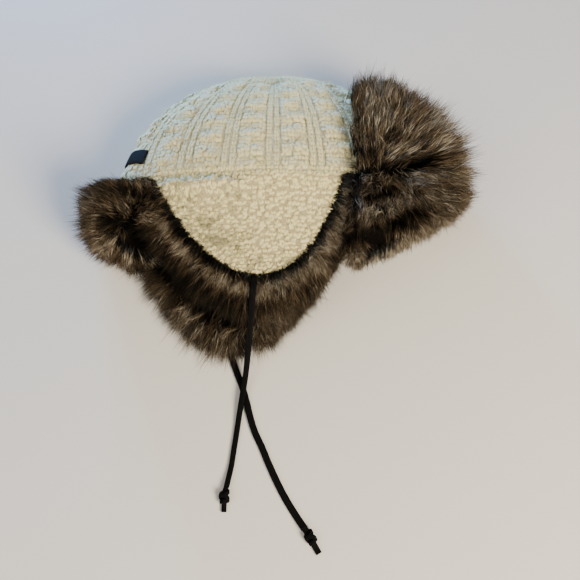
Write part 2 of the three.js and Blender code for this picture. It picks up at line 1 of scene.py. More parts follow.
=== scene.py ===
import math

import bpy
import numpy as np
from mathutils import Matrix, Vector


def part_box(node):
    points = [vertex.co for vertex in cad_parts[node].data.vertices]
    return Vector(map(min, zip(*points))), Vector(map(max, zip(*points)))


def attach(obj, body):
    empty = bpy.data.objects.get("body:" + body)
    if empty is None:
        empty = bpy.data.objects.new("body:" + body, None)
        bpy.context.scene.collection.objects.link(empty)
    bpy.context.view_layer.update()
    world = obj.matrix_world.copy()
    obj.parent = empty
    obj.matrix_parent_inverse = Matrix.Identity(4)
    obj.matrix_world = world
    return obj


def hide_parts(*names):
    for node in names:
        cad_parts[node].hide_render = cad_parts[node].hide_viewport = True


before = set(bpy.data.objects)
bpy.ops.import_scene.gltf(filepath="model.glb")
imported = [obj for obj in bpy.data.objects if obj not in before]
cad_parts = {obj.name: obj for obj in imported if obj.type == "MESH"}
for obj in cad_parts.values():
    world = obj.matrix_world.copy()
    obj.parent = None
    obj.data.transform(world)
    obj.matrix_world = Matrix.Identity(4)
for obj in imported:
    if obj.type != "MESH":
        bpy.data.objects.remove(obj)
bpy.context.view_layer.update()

# A cable knit trapper hat lying on its left side. Everything here is worked out in millimetres in
# the hat's own directions: +X to the front of the hat, +Y to the top of the crown, +Z up from the
# table, with the rim in the plane y = 0. `place` turns that into the row frame, in metres.

rng = np.random.default_rng(21)

TURN = 2 * math.pi
UP = np.array([0, 0, 1.0])

# The crown is half of an oval dome, flattened where it lies.
BACK = 145.0  # from the dome's axis to the back of the rim
FRONT = 143.0
HALF = 43.7  # half of its thickness as it lies
DEPTH = 159.0  # from the rim to the top
ROUND = 2.3  # how square its sections are, 2 is an ellipse
DOME = 1.86  # how full the dome is, 2 is an ellipse
LIE = 0.85  # how high the axis lies where the section is full
TIP = 0.55  # and how high it stays at the top
SAG = 2.5
WALL = 6.0
DENT = {"x": -2.0, "y": 130.0, "reach_x": 16.0, "reach_y": 18.0, "depth": 7.0}

# Knitting: a panel is purl, knit, purl, knit, purl and a cable of four wales, with these widths.
PANELS = 16
WIDTHS = np.array([0.5, 1.0, 0.5, 1.0, 0.5, 1.2, 1.2, 1.2, 1.2])
PANEL = len(WIDTHS)
WALES = PANELS * PANEL
WALE_EDGES = np.concatenate([[0], np.cumsum(WIDTHS)]) / WIDTHS.sum()
RIB_MIDDLE = (WALE_EDGES[2] + WALE_EDGES[3]) / 2
PURLS = (0, 2, 4)
RIBS = (1.5, 3.5)
CABLE_START = 5
CABLE_MIDDLE = 7.0
FURROWS = (0.3, 2.5, 4.6, 9.3)
COURSES = 42
CROSSING = 20.0  # height of one cable crossing
PLAIN_EDGE = 9.0
CABLES_END = (132, 152)  # the cables fade out between these heights
GROUND_ROWS = 60
LINING_ROWS = 30

LABEL = {"low": 28.5, "high": 45.5, "around": 169.0, "reach": 25.5, "thick": 1.6, "seat": 0.75,
         "half": np.array([25.0, 8.5]), "corner": 1.8, "columns": 61, "rows": 25}
LABEL_TILT = {"from": 165, "near": 23.5, "drop": 9.0, "far": 20, "rise": 5.0}

# Ear flaps: half a blunt parabola that hangs from the rim. A lace comes out at `lace_x`.
FLAP_RIGHT = {"centre": -23.0, "drift": 10.0, "half": 86.0, "depth": 84.0, "thick": 5.0, "tip": 49.0,
              "lace_x": -18.5}
FLAP_LEFT = {"centre": -35.0, "drift": 0.0, "half": 80.0, "depth": 104.0, "thick": 5.0,
            "lace_x": -22.5}
FLAP_TAPER = 1.1
FLAP_NARROW = 0.8
FLAP_COLUMNS = 60
FALL_BEND = 1.7
FALL_BEYOND = 0.35
SHOULDER = {"y": -8.5, "reach": 5.5, "rise": 9.0}
FOLD = {"y": 1.0, "reach": 4.5, "sink": 3.2}

LACE_THICK = 2.8
STRAP_SIDES = 12

# The least height above the table of the knit, the leather and the backing of the fur.
KNIT_FLOOR = 0.12
LEATHER_FLOOR = 0.15
TRIM_FLOOR = 0.3
PELT_FLOOR = 0.4

# The hat's own frame in the row: the crown's box says where it sits.
crown_low, crown_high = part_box("crown")
ORIGIN = np.array([-BACK - crown_low.x * 1000, DEPTH - crown_high.y * 1000, 0.0])


def jitter(*shape):
    return rng.standard_normal(shape)


def place(points):
    return (np.asarray(points, float) - ORIGIN) / 1000


def smooth(low, high, v):
    t = np.clip((v - low) / (high - low), 0, 1)
    return t * t * (3 - 2 * t)


def hump(off, reach):
    """1 where `off` is 0, fading to nothing past the reach."""
    return np.exp(-((off / reach) ** 2))


def signed_power(v, p):
    return np.sign(v) * np.abs(v) ** p


def unit(v):
    return v / np.maximum(np.linalg.norm(v, axis=-1, keepdims=True), 1e-9)


def lengths(v):
    return np.linalg.norm(v, axis=1)


def way_along(line):
    """The distance along a line of points, from 0 at its start."""
    return np.concatenate([[0], np.cumsum(lengths(np.diff(line, axis=0)))])


def keep_off_table(points, least):
    points[..., 2] = np.maximum(points[..., 2], least)
    return points


def linked(name, data):
    """A new object in the scene."""
    thing = bpy.data.objects.new(name, data)
    bpy.context.collection.objects.link(thing)
    return thing


def preset(node, values):
    """Sets constant values on the sockets of a node."""
    for socket, value in values.items():
        node.inputs[socket].default_value = value


# Camera

FOCAL_PIXELS = 700.0
FRAME_PIXELS = 580.0
MIDDLE = FRAME_PIXELS / 2
SENSOR = 36
ELEVATION = math.radians(66)
TARGET = np.array([14.8, -87.4, 29.0])
DISTANCE = 634.7
VIEW_ALONG = np.array([0, math.cos(ELEVATION), -math.sin(ELEVATION)])
VIEW_UP = np.array([0, math.sin(ELEVATION), math.cos(ELEVATION)])
VIEW_RIGHT = np.array([1.0, 0, 0])
EYE = TARGET - DISTANCE * VIEW_ALONG


def make_camera():
    data = bpy.data.cameras.new("camera")
    data.sensor_width = SENSOR
    data.lens = FOCAL_PIXELS / FRAME_PIXELS * SENSOR
    data.clip_start = 0.01
    camera = linked("camera", data)
    camera.location = Vector(place(EYE))
    camera.rotation_euler = (math.pi / 2 - ELEVATION, 0, 0)
    bpy.context.scene.camera = camera


def in_picture(points):
    """Where points show in the picture, in pixels."""
    off = points - EYE
    scale = FOCAL_PIXELS / (off @ VIEW_ALONG)
    return np.stack([MIDDLE + off @ VIEW_RIGHT * scale, MIDDLE - off @ VIEW_UP * scale], -1)


def sight_line(x, y):
    return VIEW_ALONG * FOCAL_PIXELS + VIEW_RIGHT * (x - MIDDLE) - VIEW_UP * (y - MIDDLE)


def sight_plane(x0, y0, x1, y1):
    """The plane through the camera and two points of the picture: its outward normal and its place."""
    normal = unit(np.cross(sight_line(x1, y1), sight_line(x0, y0)))
    return normal, normal @ EYE


# Meshes


def mesh_piece(node, part, points, triangles, material, uv=None):
    """A piece from points in the hat's millimetres and triangles, in the place of a node."""
    name = f"{node}_{part}"
    mesh = bpy.data.meshes.new(name)
    corners = np.asarray(triangles, np.int32)
    spots = place(points).astype(np.float32)
    mesh.vertices.add(len(spots))
    mesh.vertices.foreach_set("co", spots.ravel())
    mesh.loops.add(corners.size)
    mesh.loops.foreach_set("vertex_index", corners.ravel())
    mesh.polygons.add(len(corners))
    mesh.polygons.foreach_set("loop_start", np.arange(0, corners.size, 3, dtype=np.int32))
    if uv is not None:
        layer = mesh.uv_layers.new(name="OFBake")
        layer.data.foreach_set("uv", np.asarray(uv, np.float32)[corners.ravel()].ravel())
    mesh.polygons.foreach_set("use_smooth", np.full(len(corners), True))
    mesh.update(calc_edges=True)
    mesh.materials.append(material)
    piece = linked(name, mesh)
    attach(piece, "root")
    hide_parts(node)
    return piece


def grid_triangles(rows, columns, closed=False, start=0):
    """Triangles of a grid of points, row by row, that may close on itself across."""
    across = columns if closed else columns - 1
    r, c = np.meshgrid(np.arange(rows - 1), np.arange(across), indexing="ij")
    a = start + r * columns + c
    b = start + r * columns + (c + 1) % columns
    first = np.stack([a, b, a + columns], -1)
    second = np.stack([b, b + columns, a + columns], -1)
    return np.concatenate([first.reshape(-1, 3), second.reshape(-1, 3)])


def strip(near, far):
    """Triangles of the strip between two rows of points."""
    a, b, c, d = near[:-1], near[1:], far[:-1], far[1:]
    return np.concatenate([np.stack([a, b, c], -1), np.stack([b, d, c], -1)])


def fan(centre, ring, flip=False):
    ring = np.asarray(ring)
    following = np.roll(ring, -1)
    middle = np.full(len(ring), centre)
    return np.stack([middle, following, ring] if flip else [middle, ring, following], -1)


def joined(shapes):
    """Points, triangles and UVs of several shapes as one."""
    starts = np.cumsum([0] + [len(points) for points, _, _ in shapes])
    points, triangles, uv = zip(*shapes)
    moved = [faces + start for faces, start in zip(triangles, starts)]
    return np.concatenate(points), np.concatenate(moved), np.concatenate(uv)


# Materials

# Colours along a hair of each tone, from its root to its tip.
BLACK_HAIR = (
    (0, (0.003, 0.003, 0.003)), (0.5, (0.007, 0.006, 0.005)), (0.85, (0.014, 0.012, 0.009)),
    (1, (0.03, 0.026, 0.02)),
)
BROWN_HAIR = (
    (0, (0.006, 0.006, 0.006)), (0.3, (0.026, 0.022, 0.017)), (0.5, (0.18, 0.126, 0.071)),
    (0.72, (0.13, 0.084, 0.045)), (0.9, (0.058, 0.038, 0.023)), (1, (0.27, 0.21, 0.14)),
)
PALE_HAIR = (
    (0, (0.02, 0.02, 0.018)), (0.36, (0.095, 0.092, 0.078)), (0.48, (0.30, 0.245, 0.17)),
    (0.66, (0.58, 0.50, 0.37)), (0.8, (0.19, 0.14, 0.095)), (0.88, (0.05, 0.036, 0.026)),
    (1, (0.56, 0.485, 0.37)),
)
# Wool from the crease beside a stitch, darker there as painted shade, to its crest, and its shade from
# the darkest to the lightest stitch.
WOOL_CREASE_SHADE = ((0, (0.35, 0.275, 0.12)), (0.45, (0.78, 0.665, 0.34)), (1, (0.97, 0.875, 0.51)))
WOOL_SHADE = (
    (0, (0.30, 0.31, 0.29)), (0.3, (0.80, 0.79, 0.74)), (0.6, (0.96, 0.95, 0.92)), (1, (1, 1, 1)),
)
BACKING = ((0.35, (0.004, 0.003, 0.003)), (0.7, (0.012, 0.009, 0.007)))


def new_material(name, settings):
    """A material with these constants on its shader, and its node tree."""
    material = bpy.data.materials.new(name)
    material.use_nodes = True
    shader = material.node_tree.nodes["Principled BSDF"]
    preset(shader, settings)
    return material, material.node_tree, shader


def ramp(tree, stops, source):
    node = tree.nodes.new("ShaderNodeValToRGB")
    elements = node.color_ramp.elements
    while len(elements) < len(stops):
        elements.new(0.5)
    for element, (at, colour) in zip(elements, stops):
        element.position = at
        element.color = (*colour, 1)
    tree.links.new(source, node.inputs[0])
    return node.outputs[0]


def mixed(tree, first, second, blend="MIX", factor=None):
    node = tree.nodes.new("ShaderNodeMix")
    node.data_type = "RGBA"
    node.blend_type = blend
    if factor is None:
        node.inputs[0].default_value = 1.0
    else:
        tree.links.new(factor, node.inputs[0])
    tree.links.new(first, node.inputs[6])
    tree.links.new(second, node.inputs[7])
    return node.outputs[2]


def maths(tree, operation, first, second):
    node = tree.nodes.new("ShaderNodeMath")
    node.operation = operation
    tree.links.new(first, node.inputs[0])
    node.inputs[1].default_value = second
    return node.outputs[0]


def strand_coordinates(tree):
    """The tone of a strand, across its UV map, and the way along it."""
    uv = tree.nodes.new("ShaderNodeUVMap")
    uv.uv_map = "OFBake"
    split = tree.nodes.new("ShaderNodeSeparateXYZ")
    tree.links.new(uv.outputs["UV"], split.inputs[0])
    return split.outputs[0], split.outputs[1]


def fur_material():
    """Banded hair: u is its tone from black to pale, v runs from the root to the tip."""
    material, tree, shader = new_material("banded_fur", {"Roughness": 0.62, "Specular IOR Level": 0.0})
    tone, along = strand_coordinates(tree)
    black, brown, pale = (ramp(tree, stops, along) for stops in (BLACK_HAIR, BROWN_HAIR, PALE_HAIR))
    low = maths(tree, "MULTIPLY", tone, 2.0)
    high = maths(tree, "SUBTRACT", low, 1.0)
    dark_half = mixed(tree, black, brown, factor=low)
    tree.links.new(mixed(tree, dark_half, pale, factor=high), shader.inputs["Base Color"])
    return material


def yarn_material():
    """Wool yarn: u is the stitch's own tone, v runs from the crease beside it, darkened as painted shade,
    to its crest.
    """
    material, tree, shader = new_material("wool_yarn", {
        "Roughness": 0.95, "Specular IOR Level": 0.2, "Sheen Weight": 0.12, "Sheen Roughness": 0.5})
    tone, height = strand_coordinates(tree)
    colour = mixed(tree, ramp(tree, WOOL_CREASE_SHADE, height), ramp(tree, WOOL_SHADE, tone), "MULTIPLY")
    tree.links.new(colour, shader.inputs["Base Color"])
    return material


def grained_material(name, stops, noise_settings, bump_settings, settings):
    """A surface whose colour and height follow one noise."""
    material, tree, shader = new_material(name, settings)
    place_in = tree.nodes.new("ShaderNodeTexCoord")
    noise = tree.nodes.new("ShaderNodeTexNoise")
    bump = tree.nodes.new("ShaderNodeBump")
    preset(noise, noise_settings)
    preset(bump, bump_settings)
    tree.links.new(place_in.outputs["Object"], noise.inputs["Vector"])
    tree.links.new(ramp(tree, stops, noise.outputs["Fac"]), shader.inputs["Base Color"])
    tree.links.new(noise.outputs["Fac"], bump.inputs["Height"])
    tree.links.new(bump.outputs[0], shader.inputs["Normal"])
    return material


def knit_ground_material(name, low, high):
    """The ground behind the stitches, darker than the yarn as painted shade between them, and the plain
    inside.
    """
    return grained_material(name, ((0.3, low), (0.7, high)), {"Scale": 420, "Detail": 6},
                            {"Distance": 0.0012, "Strength": 0.8},
                            {"Roughness": 0.95, "Sheen Weight": 0.3})


def leather_material(name, colour, roughness, grain):
    light = tuple(min(1.0, c * 2.2 + 0.002) for c in colour)
    return grained_material(name, ((0.35, colour), (0.75, light)), {"Scale": grain, "Detail": 8},
                            {"Distance": 0.0003}, {"Roughness": roughness, "Specular IOR Level": 0.03})


# Laces, laid along the same routes as the frame's. Widths are the leather's at a lace's start and end.

LACES = {
    "right": {
        "route": (
            (-15.8, -85.4, 52), (-17, -93, 54.9), (-17.6, -101, 53.9), (-18.6, -111, 48.4),
            (-19.8, -121, 39.2), (-21, -131, 30.4), (-22.2, -142, 22), (-23.6, -153, 13.4),
            (-25, -163, 7.6), (-26.6, -174, 5.4), (-28.2, -186, 4.9), (-30, -198, 2.6),
            (-31.6, -211, 1.6), (-33.4, -225, 1.6), (-35.2, -239, 1.6), (-37.2, -250, 2.6),
            (-38.6, -257, 3.8),
        ),
        "tail": ((-40.2, -265, 3.6), (-40.2, -277.5, 1.6)), "widths": (5.8, 4.7), "tail_width": 4.3,
    },
    "left": {
        "route": (
            (-36.3, -105, 1.7), (-38.5, -115, 1.6), (-40, -125, 1.6), (-40.4, -134, 1.6),
            (-37, -146, 1.6), (-32.6, -158, 1.6), (-27.6, -171, 1.6), (-23.6, -184, 1.6),
            (-20, -198, 1.6), (-15.6, -211, 1.6), (-9.4, -224, 1.6), (-3.4, -238, 1.6),
            (3.2, -252, 1.6), (10.6, -266, 1.6), (19.4, -280, 1.7), (26.8, -290.8, 3.8),
        ),
        "tail": ((31.2, -297.5, 3.6), (38.5, -310, 1.6)), "widths": (5.8, 6.2), "tail_width": 5.1,
    },
}
# The turns of a knot: shift along it, slant, reach and the angle that it starts at.
KNOT_TURNS = ((-2.3, 2.0, 3.1, 0.4), (1.3, -2.2, 3.3, 2.0), (3.4, 1.2, 2.5, 3.6))
KNOT_HEIGHT = 3.9
KNOT_STRAND = {"width": 3.6, "thick": 2.0, "across": 1.12, "up": 0.86}


def curve_through(points, count):
    """A smooth curve through the points, sampled at even distances."""
    points = np.asarray(points, float)
    ends = [2 * points[0] - points[1], *points, 2 * points[-1] - points[-2]]
    samples = []
    for a, b, c, d in zip(ends, ends[1:], ends[2:], ends[3:]):
        t = np.linspace(0, 1, 24, endpoint=False)[:, None]
        samples.append(0.5 * (2 * b + (c - a) * t + (2 * a - 5 * b + 4 * c - d) * t ** 2
                              + (3 * b - a - 3 * c + d) * t ** 3))
    line = np.concatenate([*samples, points[-1:]])
    way = way_along(line)
    even = np.linspace(0, way[-1], count)
    return np.stack([np.interp(even, way, line[:, axis]) for axis in range(3)], -1), way[-1]


def flat_strap(line, width, thick, ups=UP):
    """A flat strap with round edges along a line. Returns its points and triangles."""
    sides = STRAP_SIDES
    along = unit(np.gradient(line, axis=0))
    across = unit(np.cross(ups, along))
    up = np.cross(along, across)
    turn = (np.arange(sides) + 0.5) / sides * TURN
    wide = signed_power(np.cos(turn), 0.5) * np.reshape(width, (-1, 1)) / 2
    high = signed_power(np.sin(turn), 0.6) * thick / 2
    points = line[:, None] + across[:, None] * wide[..., None] + up[:, None] * high[:, None]
    count = len(line) * sides
    points = np.concatenate([points.reshape(-1, 3), line[:1], line[-1:]])
    triangles = np.concatenate([
        grid_triangles(len(line), sides, closed=True),
        fan(count, np.arange(sides), flip=True),
        fan(count + 1, np.arange(count - sides, count)),
    ])
    return keep_off_table(points, LEATHER_FLOOR), triangles


def make_lace(side, material):
    lace = LACES[side]
    line, length = curve_through(lace["route"], 150)
    points, triangles = flat_strap(line, np.linspace(*lace["widths"], len(line)), LACE_THICK)
    piece = mesh_piece(f"lace_{side}", "strap", points, triangles, material)


def make_knot(side, material):
    """An overhand knot pulled tight: the lace winds round itself and leaves a short tail."""
    lace = LACES[side]
    before, joint = np.array(lace["route"][-2:], float)
    middle, end = np.array(lace["tail"], float)
    along = unit((end - middle) * [1, 1, 0])
    aside = np.array([-along[1], along[0], 0])
    centre = middle * [1, 1, 0] + UP * KNOT_HEIGHT
    parts = []
    for shift, slant, reach, start in KNOT_TURNS:
        turn = np.linspace(start, start + TURN, 40)
        around = (aside * np.cos(turn)[:, None] * reach * KNOT_STRAND["across"]
                  + UP * np.sin(turn)[:, None] * reach * KNOT_STRAND["up"])
        line = centre + around + along * (shift + slant * np.sin(turn - 0.7))[:, None]
        parts.append(flat_strap(line, KNOT_STRAND["width"], KNOT_STRAND["thick"], unit(around)))
    through = [joint + unit(before - joint) * 1.2, joint, centre - along * 2,
               centre + along * 4 - UP * 0.8, middle * 0.35 + end * 0.65 - UP * 0.6, end]
    parts.append(flat_strap(curve_through(through, 50)[0], lace["tail_width"], LACE_THICK * 0.85))
    points, triangles, _ = joined([(*part, part[0]) for part in parts])
    return mesh_piece(f"knot_{side}", "wraps", points, triangles, material)


# The crown's surface

def crown_scale(y):
    return np.clip(1 - np.clip(y / DEPTH, 0, 1) ** DOME, 0, 1) ** (1 / DOME)


def crown_axis(scale):
    return HALF * np.hypot(LIE * scale, TIP) - SAG


def round_crown(around, out, y):
    scale = crown_scale(y)
    reach = np.where(np.cos(around) >= 0, FRONT, BACK)
    x = (reach * scale + out) * signed_power(np.cos(around), 2 / ROUND)
    z = crown_axis(scale) + (HALF * scale + out) * signed_power(np.sin(around), 2 / ROUND)
    return np.stack([x, y + 0 * x, z], -1)


ANGLES = np.linspace(-math.pi, math.pi, 4001)
RIM_WAY = way_along(round_crown(ANGLES, 0.0, np.zeros_like(ANGLES)))
HEIGHTS = np.linspace(0, DEPTH, 2001)
MERIDIAN_WAY = way_along(round_crown(np.full_like(HEIGHTS, math.radians(66)), 0.0, HEIGHTS))


def around_at(wale):
    """The angle round the crown of a wale: a rib lies in the middle of the back, the top and the front."""
    phase = np.interp(wale % PANEL, np.arange(PANEL + 1), WALE_EDGES) - RIB_MIDDLE
    turn = (np.floor(wale / PANEL) + phase) / PANELS
    return np.interp(turn % 1, RIM_WAY / RIM_WAY[-1], ANGLES)


def height_at(course):
    """The height of a course, so that the courses are about equally far apart."""
    return np.interp(course / COURSES, MERIDIAN_WAY / MERIDIAN_WAY[-1], HEIGHTS)


def cable_weight(y):
    return smooth(PLAIN_EDGE - 3, PLAIN_EDGE + 3, y) * (1 - smooth(*CABLES_END, y))


def cable_wave(wale, y):
    """1 where a cable swells and -1 where it is drawn in, a little later in each panel."""
    return np.cos(TURN * (y - PLAIN_EDGE) / CROSSING + 0.6 * np.floor(wale / PANEL))


def label_drop(around):
    """How much lower the label hangs towards its near end, and how much higher towards its far end."""
    off = math.radians(LABEL_TILT["from"]) - around % TURN
    near = np.clip(off / math.radians(LABEL_TILT["near"]), 0, 1.2)
    far = np.clip(-off / math.radians(LABEL_TILT["far"]), 0, 1.5)
    return LABEL_TILT["drop"] * near ** 1.5 - LABEL_TILT["rise"] * far


def from_label(around, y):
    """How far a place is from the label's middle, round the crown, and its height as the label hangs."""
    return np.abs(around % TURN - math.radians(LABEL["around"])), y + label_drop(around)


def label_shade(around, y):
    """1 where the knit lies flat under the label and beside it, 0 away from it."""
    off, y = from_label(around, y)
    beside = 1 - smooth(math.radians(LABEL["reach"] + 3), math.radians(LABEL["reach"] + 18), off)
    above = smooth(LABEL["low"] - 16, LABEL["low"] - 6, y)
    return beside * above * (1 - smooth(LABEL["high"] + 6, LABEL["high"] + 16, y))


def under_label(around, y):
    off, y = from_label(around, y)
    return (off < math.radians(LABEL["reach"])) & (y > LABEL["low"] + 0.4) & (y < LABEL["high"] - 0.4)


def knit_relief(wale, y):
    """How far the ground stands out: two ribs, their furrows and the lumps of each cable."""
    inside = wale % PANEL
    lump = 0.55 + 0.45 * cable_wave(wale, y)
    ribs = 0.5 * sum(hump(inside - at, 0.45) for at in RIBS)
    cable = 3.2 * lump * np.sqrt(np.clip(1 - ((inside - CABLE_MIDDLE) / 2.1) ** 2, 0, 1))
    furrows = sum(hump(inside - at, 0.4) for at in FURROWS)
    return (ribs + cable - 0.35 * furrows) * cable_weight(y)


def fold_along(x):
    """Where along the rim the flap swells and the seam above it sinks: towards the back of the hat."""
    return smooth(-114, -92, x) * (1 - smooth(-50, -6, x))


def seam_sink(x, y):
    return FOLD["sink"] * fold_along(x) * hump(y - FOLD["y"], FOLD["reach"])


def crown_surface(wale, course, out):
    """A point on the knit, `out` beyond its ground."""
    y = height_at(course)
    around = around_at(wale)
    relief = knit_relief(wale, y) * (1 - label_shade(around, y))
    points = round_crown(around, relief + out, y)
    top = points[..., 2] > crown_axis(crown_scale(y))
    across = ((points[..., 0] - DENT["x"]) / DENT["reach_x"]) ** 2
    up = ((points[..., 1] - DENT["y"]) / DENT["reach_y"]) ** 2
    sink = DENT["depth"] * np.exp(-across - up) + seam_sink(points[..., 0], y)
    points[..., 2] -= np.where(top, sink, 0)
    return keep_off_table(points, KNIT_FLOOR)


def make_crown_ground(outside, inside):
    columns = WALES * 2
    wales = np.arange(columns) / 2
    courses = np.linspace(0, COURSES, GROUND_ROWS + 1)[:-1, None]
    outer = crown_surface(wales[None, :], courses, 0.0 * courses)
    count = GROUND_ROWS * columns
    shell = np.concatenate([
        grid_triangles(GROUND_ROWS, columns, closed=True),
        fan(count, np.arange(count - columns, count), flip=True),
    ])
    points = np.concatenate([outer.reshape(-1, 3), [[0, DEPTH, crown_axis(0.0)]]])
    mesh_piece("crown", "knit", points, shell, outside)

    inner_y = (DEPTH - WALL) * 0.985 * np.sin(np.linspace(1, 0, LINING_ROWS + 1)[1:] * math.pi / 2)
    inner = keep_off_table(round_crown(around_at(wales)[None, :], -WALL, inner_y[:, None]), 2.2)
    centre = LINING_ROWS * columns
    edge = np.arange(columns + 1) % columns
    lining = np.concatenate([
        grid_triangles(LINING_ROWS, columns, closed=True),
        fan(centre, np.arange(columns)),
        strip(centre - columns + edge, centre + 1 + edge),
    ])
    points = np.concatenate([inner.reshape(-1, 3), [[0, DEPTH - WALL, crown_axis(0.0)]], outer[0]])
    mesh_piece("crown", "lining", points, lining, inside)


# Stitches

# Stations along a leg of yarn: the way along it, its width and its height there.
LEG_STATIONS = ((0.22, 0.78, 0.75), (0.5, 1.0, 1.0), (0.78, 0.78, 0.75))


def seeds(start, end, normal, width, height, tone, crease=0.0):
    """Legs of yarn, each a pointed strip with a raised crest from start to end; v runs from `crease` at
    the edges, painted shade, to 1 at the crest.
    """
    along = unit(end - start)
    side = unit(np.cross(along, normal))
    up = unit(np.cross(side, along))
    parts = [start - up * height[:, None] * 0.2]
    crests = [crease]
    for at, wide, high in LEG_STATIONS:
        middle = start + (end - start) * at
        half = side * (width * wide / 2)[:, None]
        lift = up * (height * high)[:, None]
        parts += [middle - half - lift * 0.35, middle + lift, middle + half - lift * 0.35]
        crests += [crease, 1, crease]
    parts.append(end - up * height[:, None] * 0.2)
    crests.append(crease)
    points = np.stack(parts, 1)
    uv = np.stack([np.repeat(tone, len(parts)), np.tile(crests, len(start))], -1)
    one = [(0, 2, 1), (0, 3, 2)]
    for first in (1, 2, 4, 5):
        a, b, c, d = first, first + 1, first + 3, first + 4
        one += [(a, b, c), (b, d, c)]
    one += [(7, 8, 10), (8, 9, 10)]
    triangles = np.array(one)[None] + (np.arange(len(start)) * len(parts))[:, None, None]
    return points.reshape(-1, 3), triangles.reshape(-1, 3), uv


def crown_stitch_grid():
    """Every stitch of the crown, with fewer wales where the dome closes."""
    wales, courses, merges = [], [], []
    for course in np.arange(COURSES) + 0.5:
        scale = crown_scale(height_at(course))
        merge = 1 if scale > 0.55 else 3 if scale > 0.16 else 9
        here = np.arange(0, WALES, merge) + merge / 2
        wales.append(here)
        courses.append(np.full(len(here), course))
        merges.append(np.full(len(here), float(merge)))
    return np.concatenate(wales), np.concatenate(courses), np.concatenate(merges)


def patches(points, size, seed):
    """A smooth field from about -1 to 1 that wanders over `size` millimetres."""
    waves = np.random.default_rng(seed)
    field = 0
    for _ in range(6):
        way = unit(waves.standard_normal(3)) * TURN / (size * (0.7 + 0.8 * waves.random()))
        field = field + np.sin(points @ way + waves.random() * TURN)
    return field / 2.2


def make_crown_stitches(material):
    wale, course, merge = crown_stitch_grid()
    count = len(wale)
    y = height_at(course)
    around = around_at(wale)
    raised = 1 - label_shade(around, y)
    inside = wale % PANEL
    weight = cable_weight(y)
    single = merge == 1
    moss = y < PLAIN_EDGE + 2
    purl = (np.isin(np.floor(inside), PURLS) & (weight > 0.3) & single) | (
        moss & ((np.floor(wale) + np.floor(course)) % 2 == 0))
    in_cable = (inside > CABLE_START) & single
    step = math.pi * (y - PLAIN_EDGE) / CROSSING + 1.1 * np.floor(wale / PANEL)
    strand = np.where(inside < CABLE_MIDDLE, -1.0, 1.0)
    own = inside - CABLE_MIDDLE - strand
    lean = np.where(in_cable, -0.55 * strand * np.sin(step), 0) * weight
    front = np.where(in_cable, -0.7 * strand * np.sin(step), 0) * weight * raised
    rounded = np.where(in_cable, 0.7 * (0.6 - np.abs(own)), 0) * weight * raised
    wander = 0.45 * jitter(count)
    out = 0.3 + front + rounded + wander * 0.6
    middle = crown_surface(wale, course, 0.0)
    tone = 0.62 + 0.13 * jitter(count) + 0.10 * patches(middle, 26, 3)
    # Painted shade and light: stitches are darker where a cable strand dips under and where a cable is
    # drawn in, lighter where it swells, and lighter towards the front of the crown.
    tone = np.clip(tone - np.where(front < -0.3, 0.08, 0), 0.04, 1)
    painted_light_front = 0.16 * smooth(30, 80, middle[:, 0])
    tone = np.clip(tone + np.where(in_cable, 0.1 * cable_wave(wale, y), 0.0) + painted_light_front, 0.04, 1)
    hidden = under_label(around, y)
    legs = ~purl & ~hidden
    bars = purl & moss & ~hidden
    size = np.where(in_cable, 1.4, 1.0)
    half_leg = np.where(in_cable | moss | ~single, 0.6, 0.66)
    normal = crown_surface(wale, course, out + 1) - crown_surface(wale, course, out)
    shapes = []
    for sign in (-1.0, 1.0):
        shift = np.where(in_cable, 0.15, 0.07) * jitter(3, count)
        top_wale = wale + lean * 0.5 + sign * 0.34 * merge + shift[0]
        low_wale = wale - lean * 0.5 + sign * 0.14 * merge + shift[1]
        a = crown_surface(top_wale, course + half_leg + shift[2], out)
        b = crown_surface(low_wale, course - half_leg + shift[2], out)
        width = np.minimum(3.4 * size, lengths(b - a) * 0.95) * (0.85 + 0.3 * rng.random(count))
        height = np.where(in_cable, 1.15, 1.05) * (0.7 + 0.6 * rng.random(count))
        shapes.append(seeds(a[legs], b[legs], normal[legs], width[legs], height[legs], tone[legs], 0.35))
    tilt = 0.25 * jitter(count)
    a = crown_surface(wale - 0.56, course - tilt, out - 0.2)
    b = crown_surface(wale + 0.56, course + tilt, out - 0.2)
    high = 2.0 * (0.8 + 0.4 * rng.random(count))
    wide = np.full(bars.sum(), 3.6)
    shapes.append(seeds(a[bars], b[bars], normal[bars], wide, high[bars], tone[bars], 0.2))
    points, triangles, uv = joined(shapes)
    keep_off_table(points, KNIT_FLOOR)
    mesh_piece("crown", "stitches", points, triangles, material, uv)


# Ear flaps

def rim_top(x):
    reach = np.where(x >= 0, FRONT, BACK)
    along = np.clip(np.abs(x) / reach, 0, 0.985)
    return crown_axis(1.0) + HALF * (1 - along ** ROUND) ** (1 / ROUND)


def right_flap_top(x, y):
    t = -y / FLAP_RIGHT["depth"]
    fall = np.where(t < 1, 1 - np.clip(1 - t, 0, 1) ** FALL_BEND, 1 + (t - 1) * FALL_BEYOND)
    swell = SHOULDER["rise"] * fold_along(x) * hump(y - SHOULDER["y"], SHOULDER["reach"])
    return rim_top(x) * (1 - fall) + FLAP_RIGHT["tip"] * fall + swell - seam_sink(x, y)


def left_flap_top(x, y):
    return FLAP_LEFT["thick"] + 0 * x


FLAP_RIGHT["top"] = right_flap_top
FLAP_LEFT["top"] = left_flap_top


def flap_edge(flap, angle):
    reach = np.sin(angle) ** (2 / FLAP_TAPER)
    return np.stack([flap["centre"] + flap["drift"] * reach + flap["half"] * np.cos(angle),
                     -flap["depth"] * reach], -1)


def flap_outward(angle):
    return unit(np.stack([np.cos(angle) * FLAP_NARROW, -np.sin(angle)], -1))


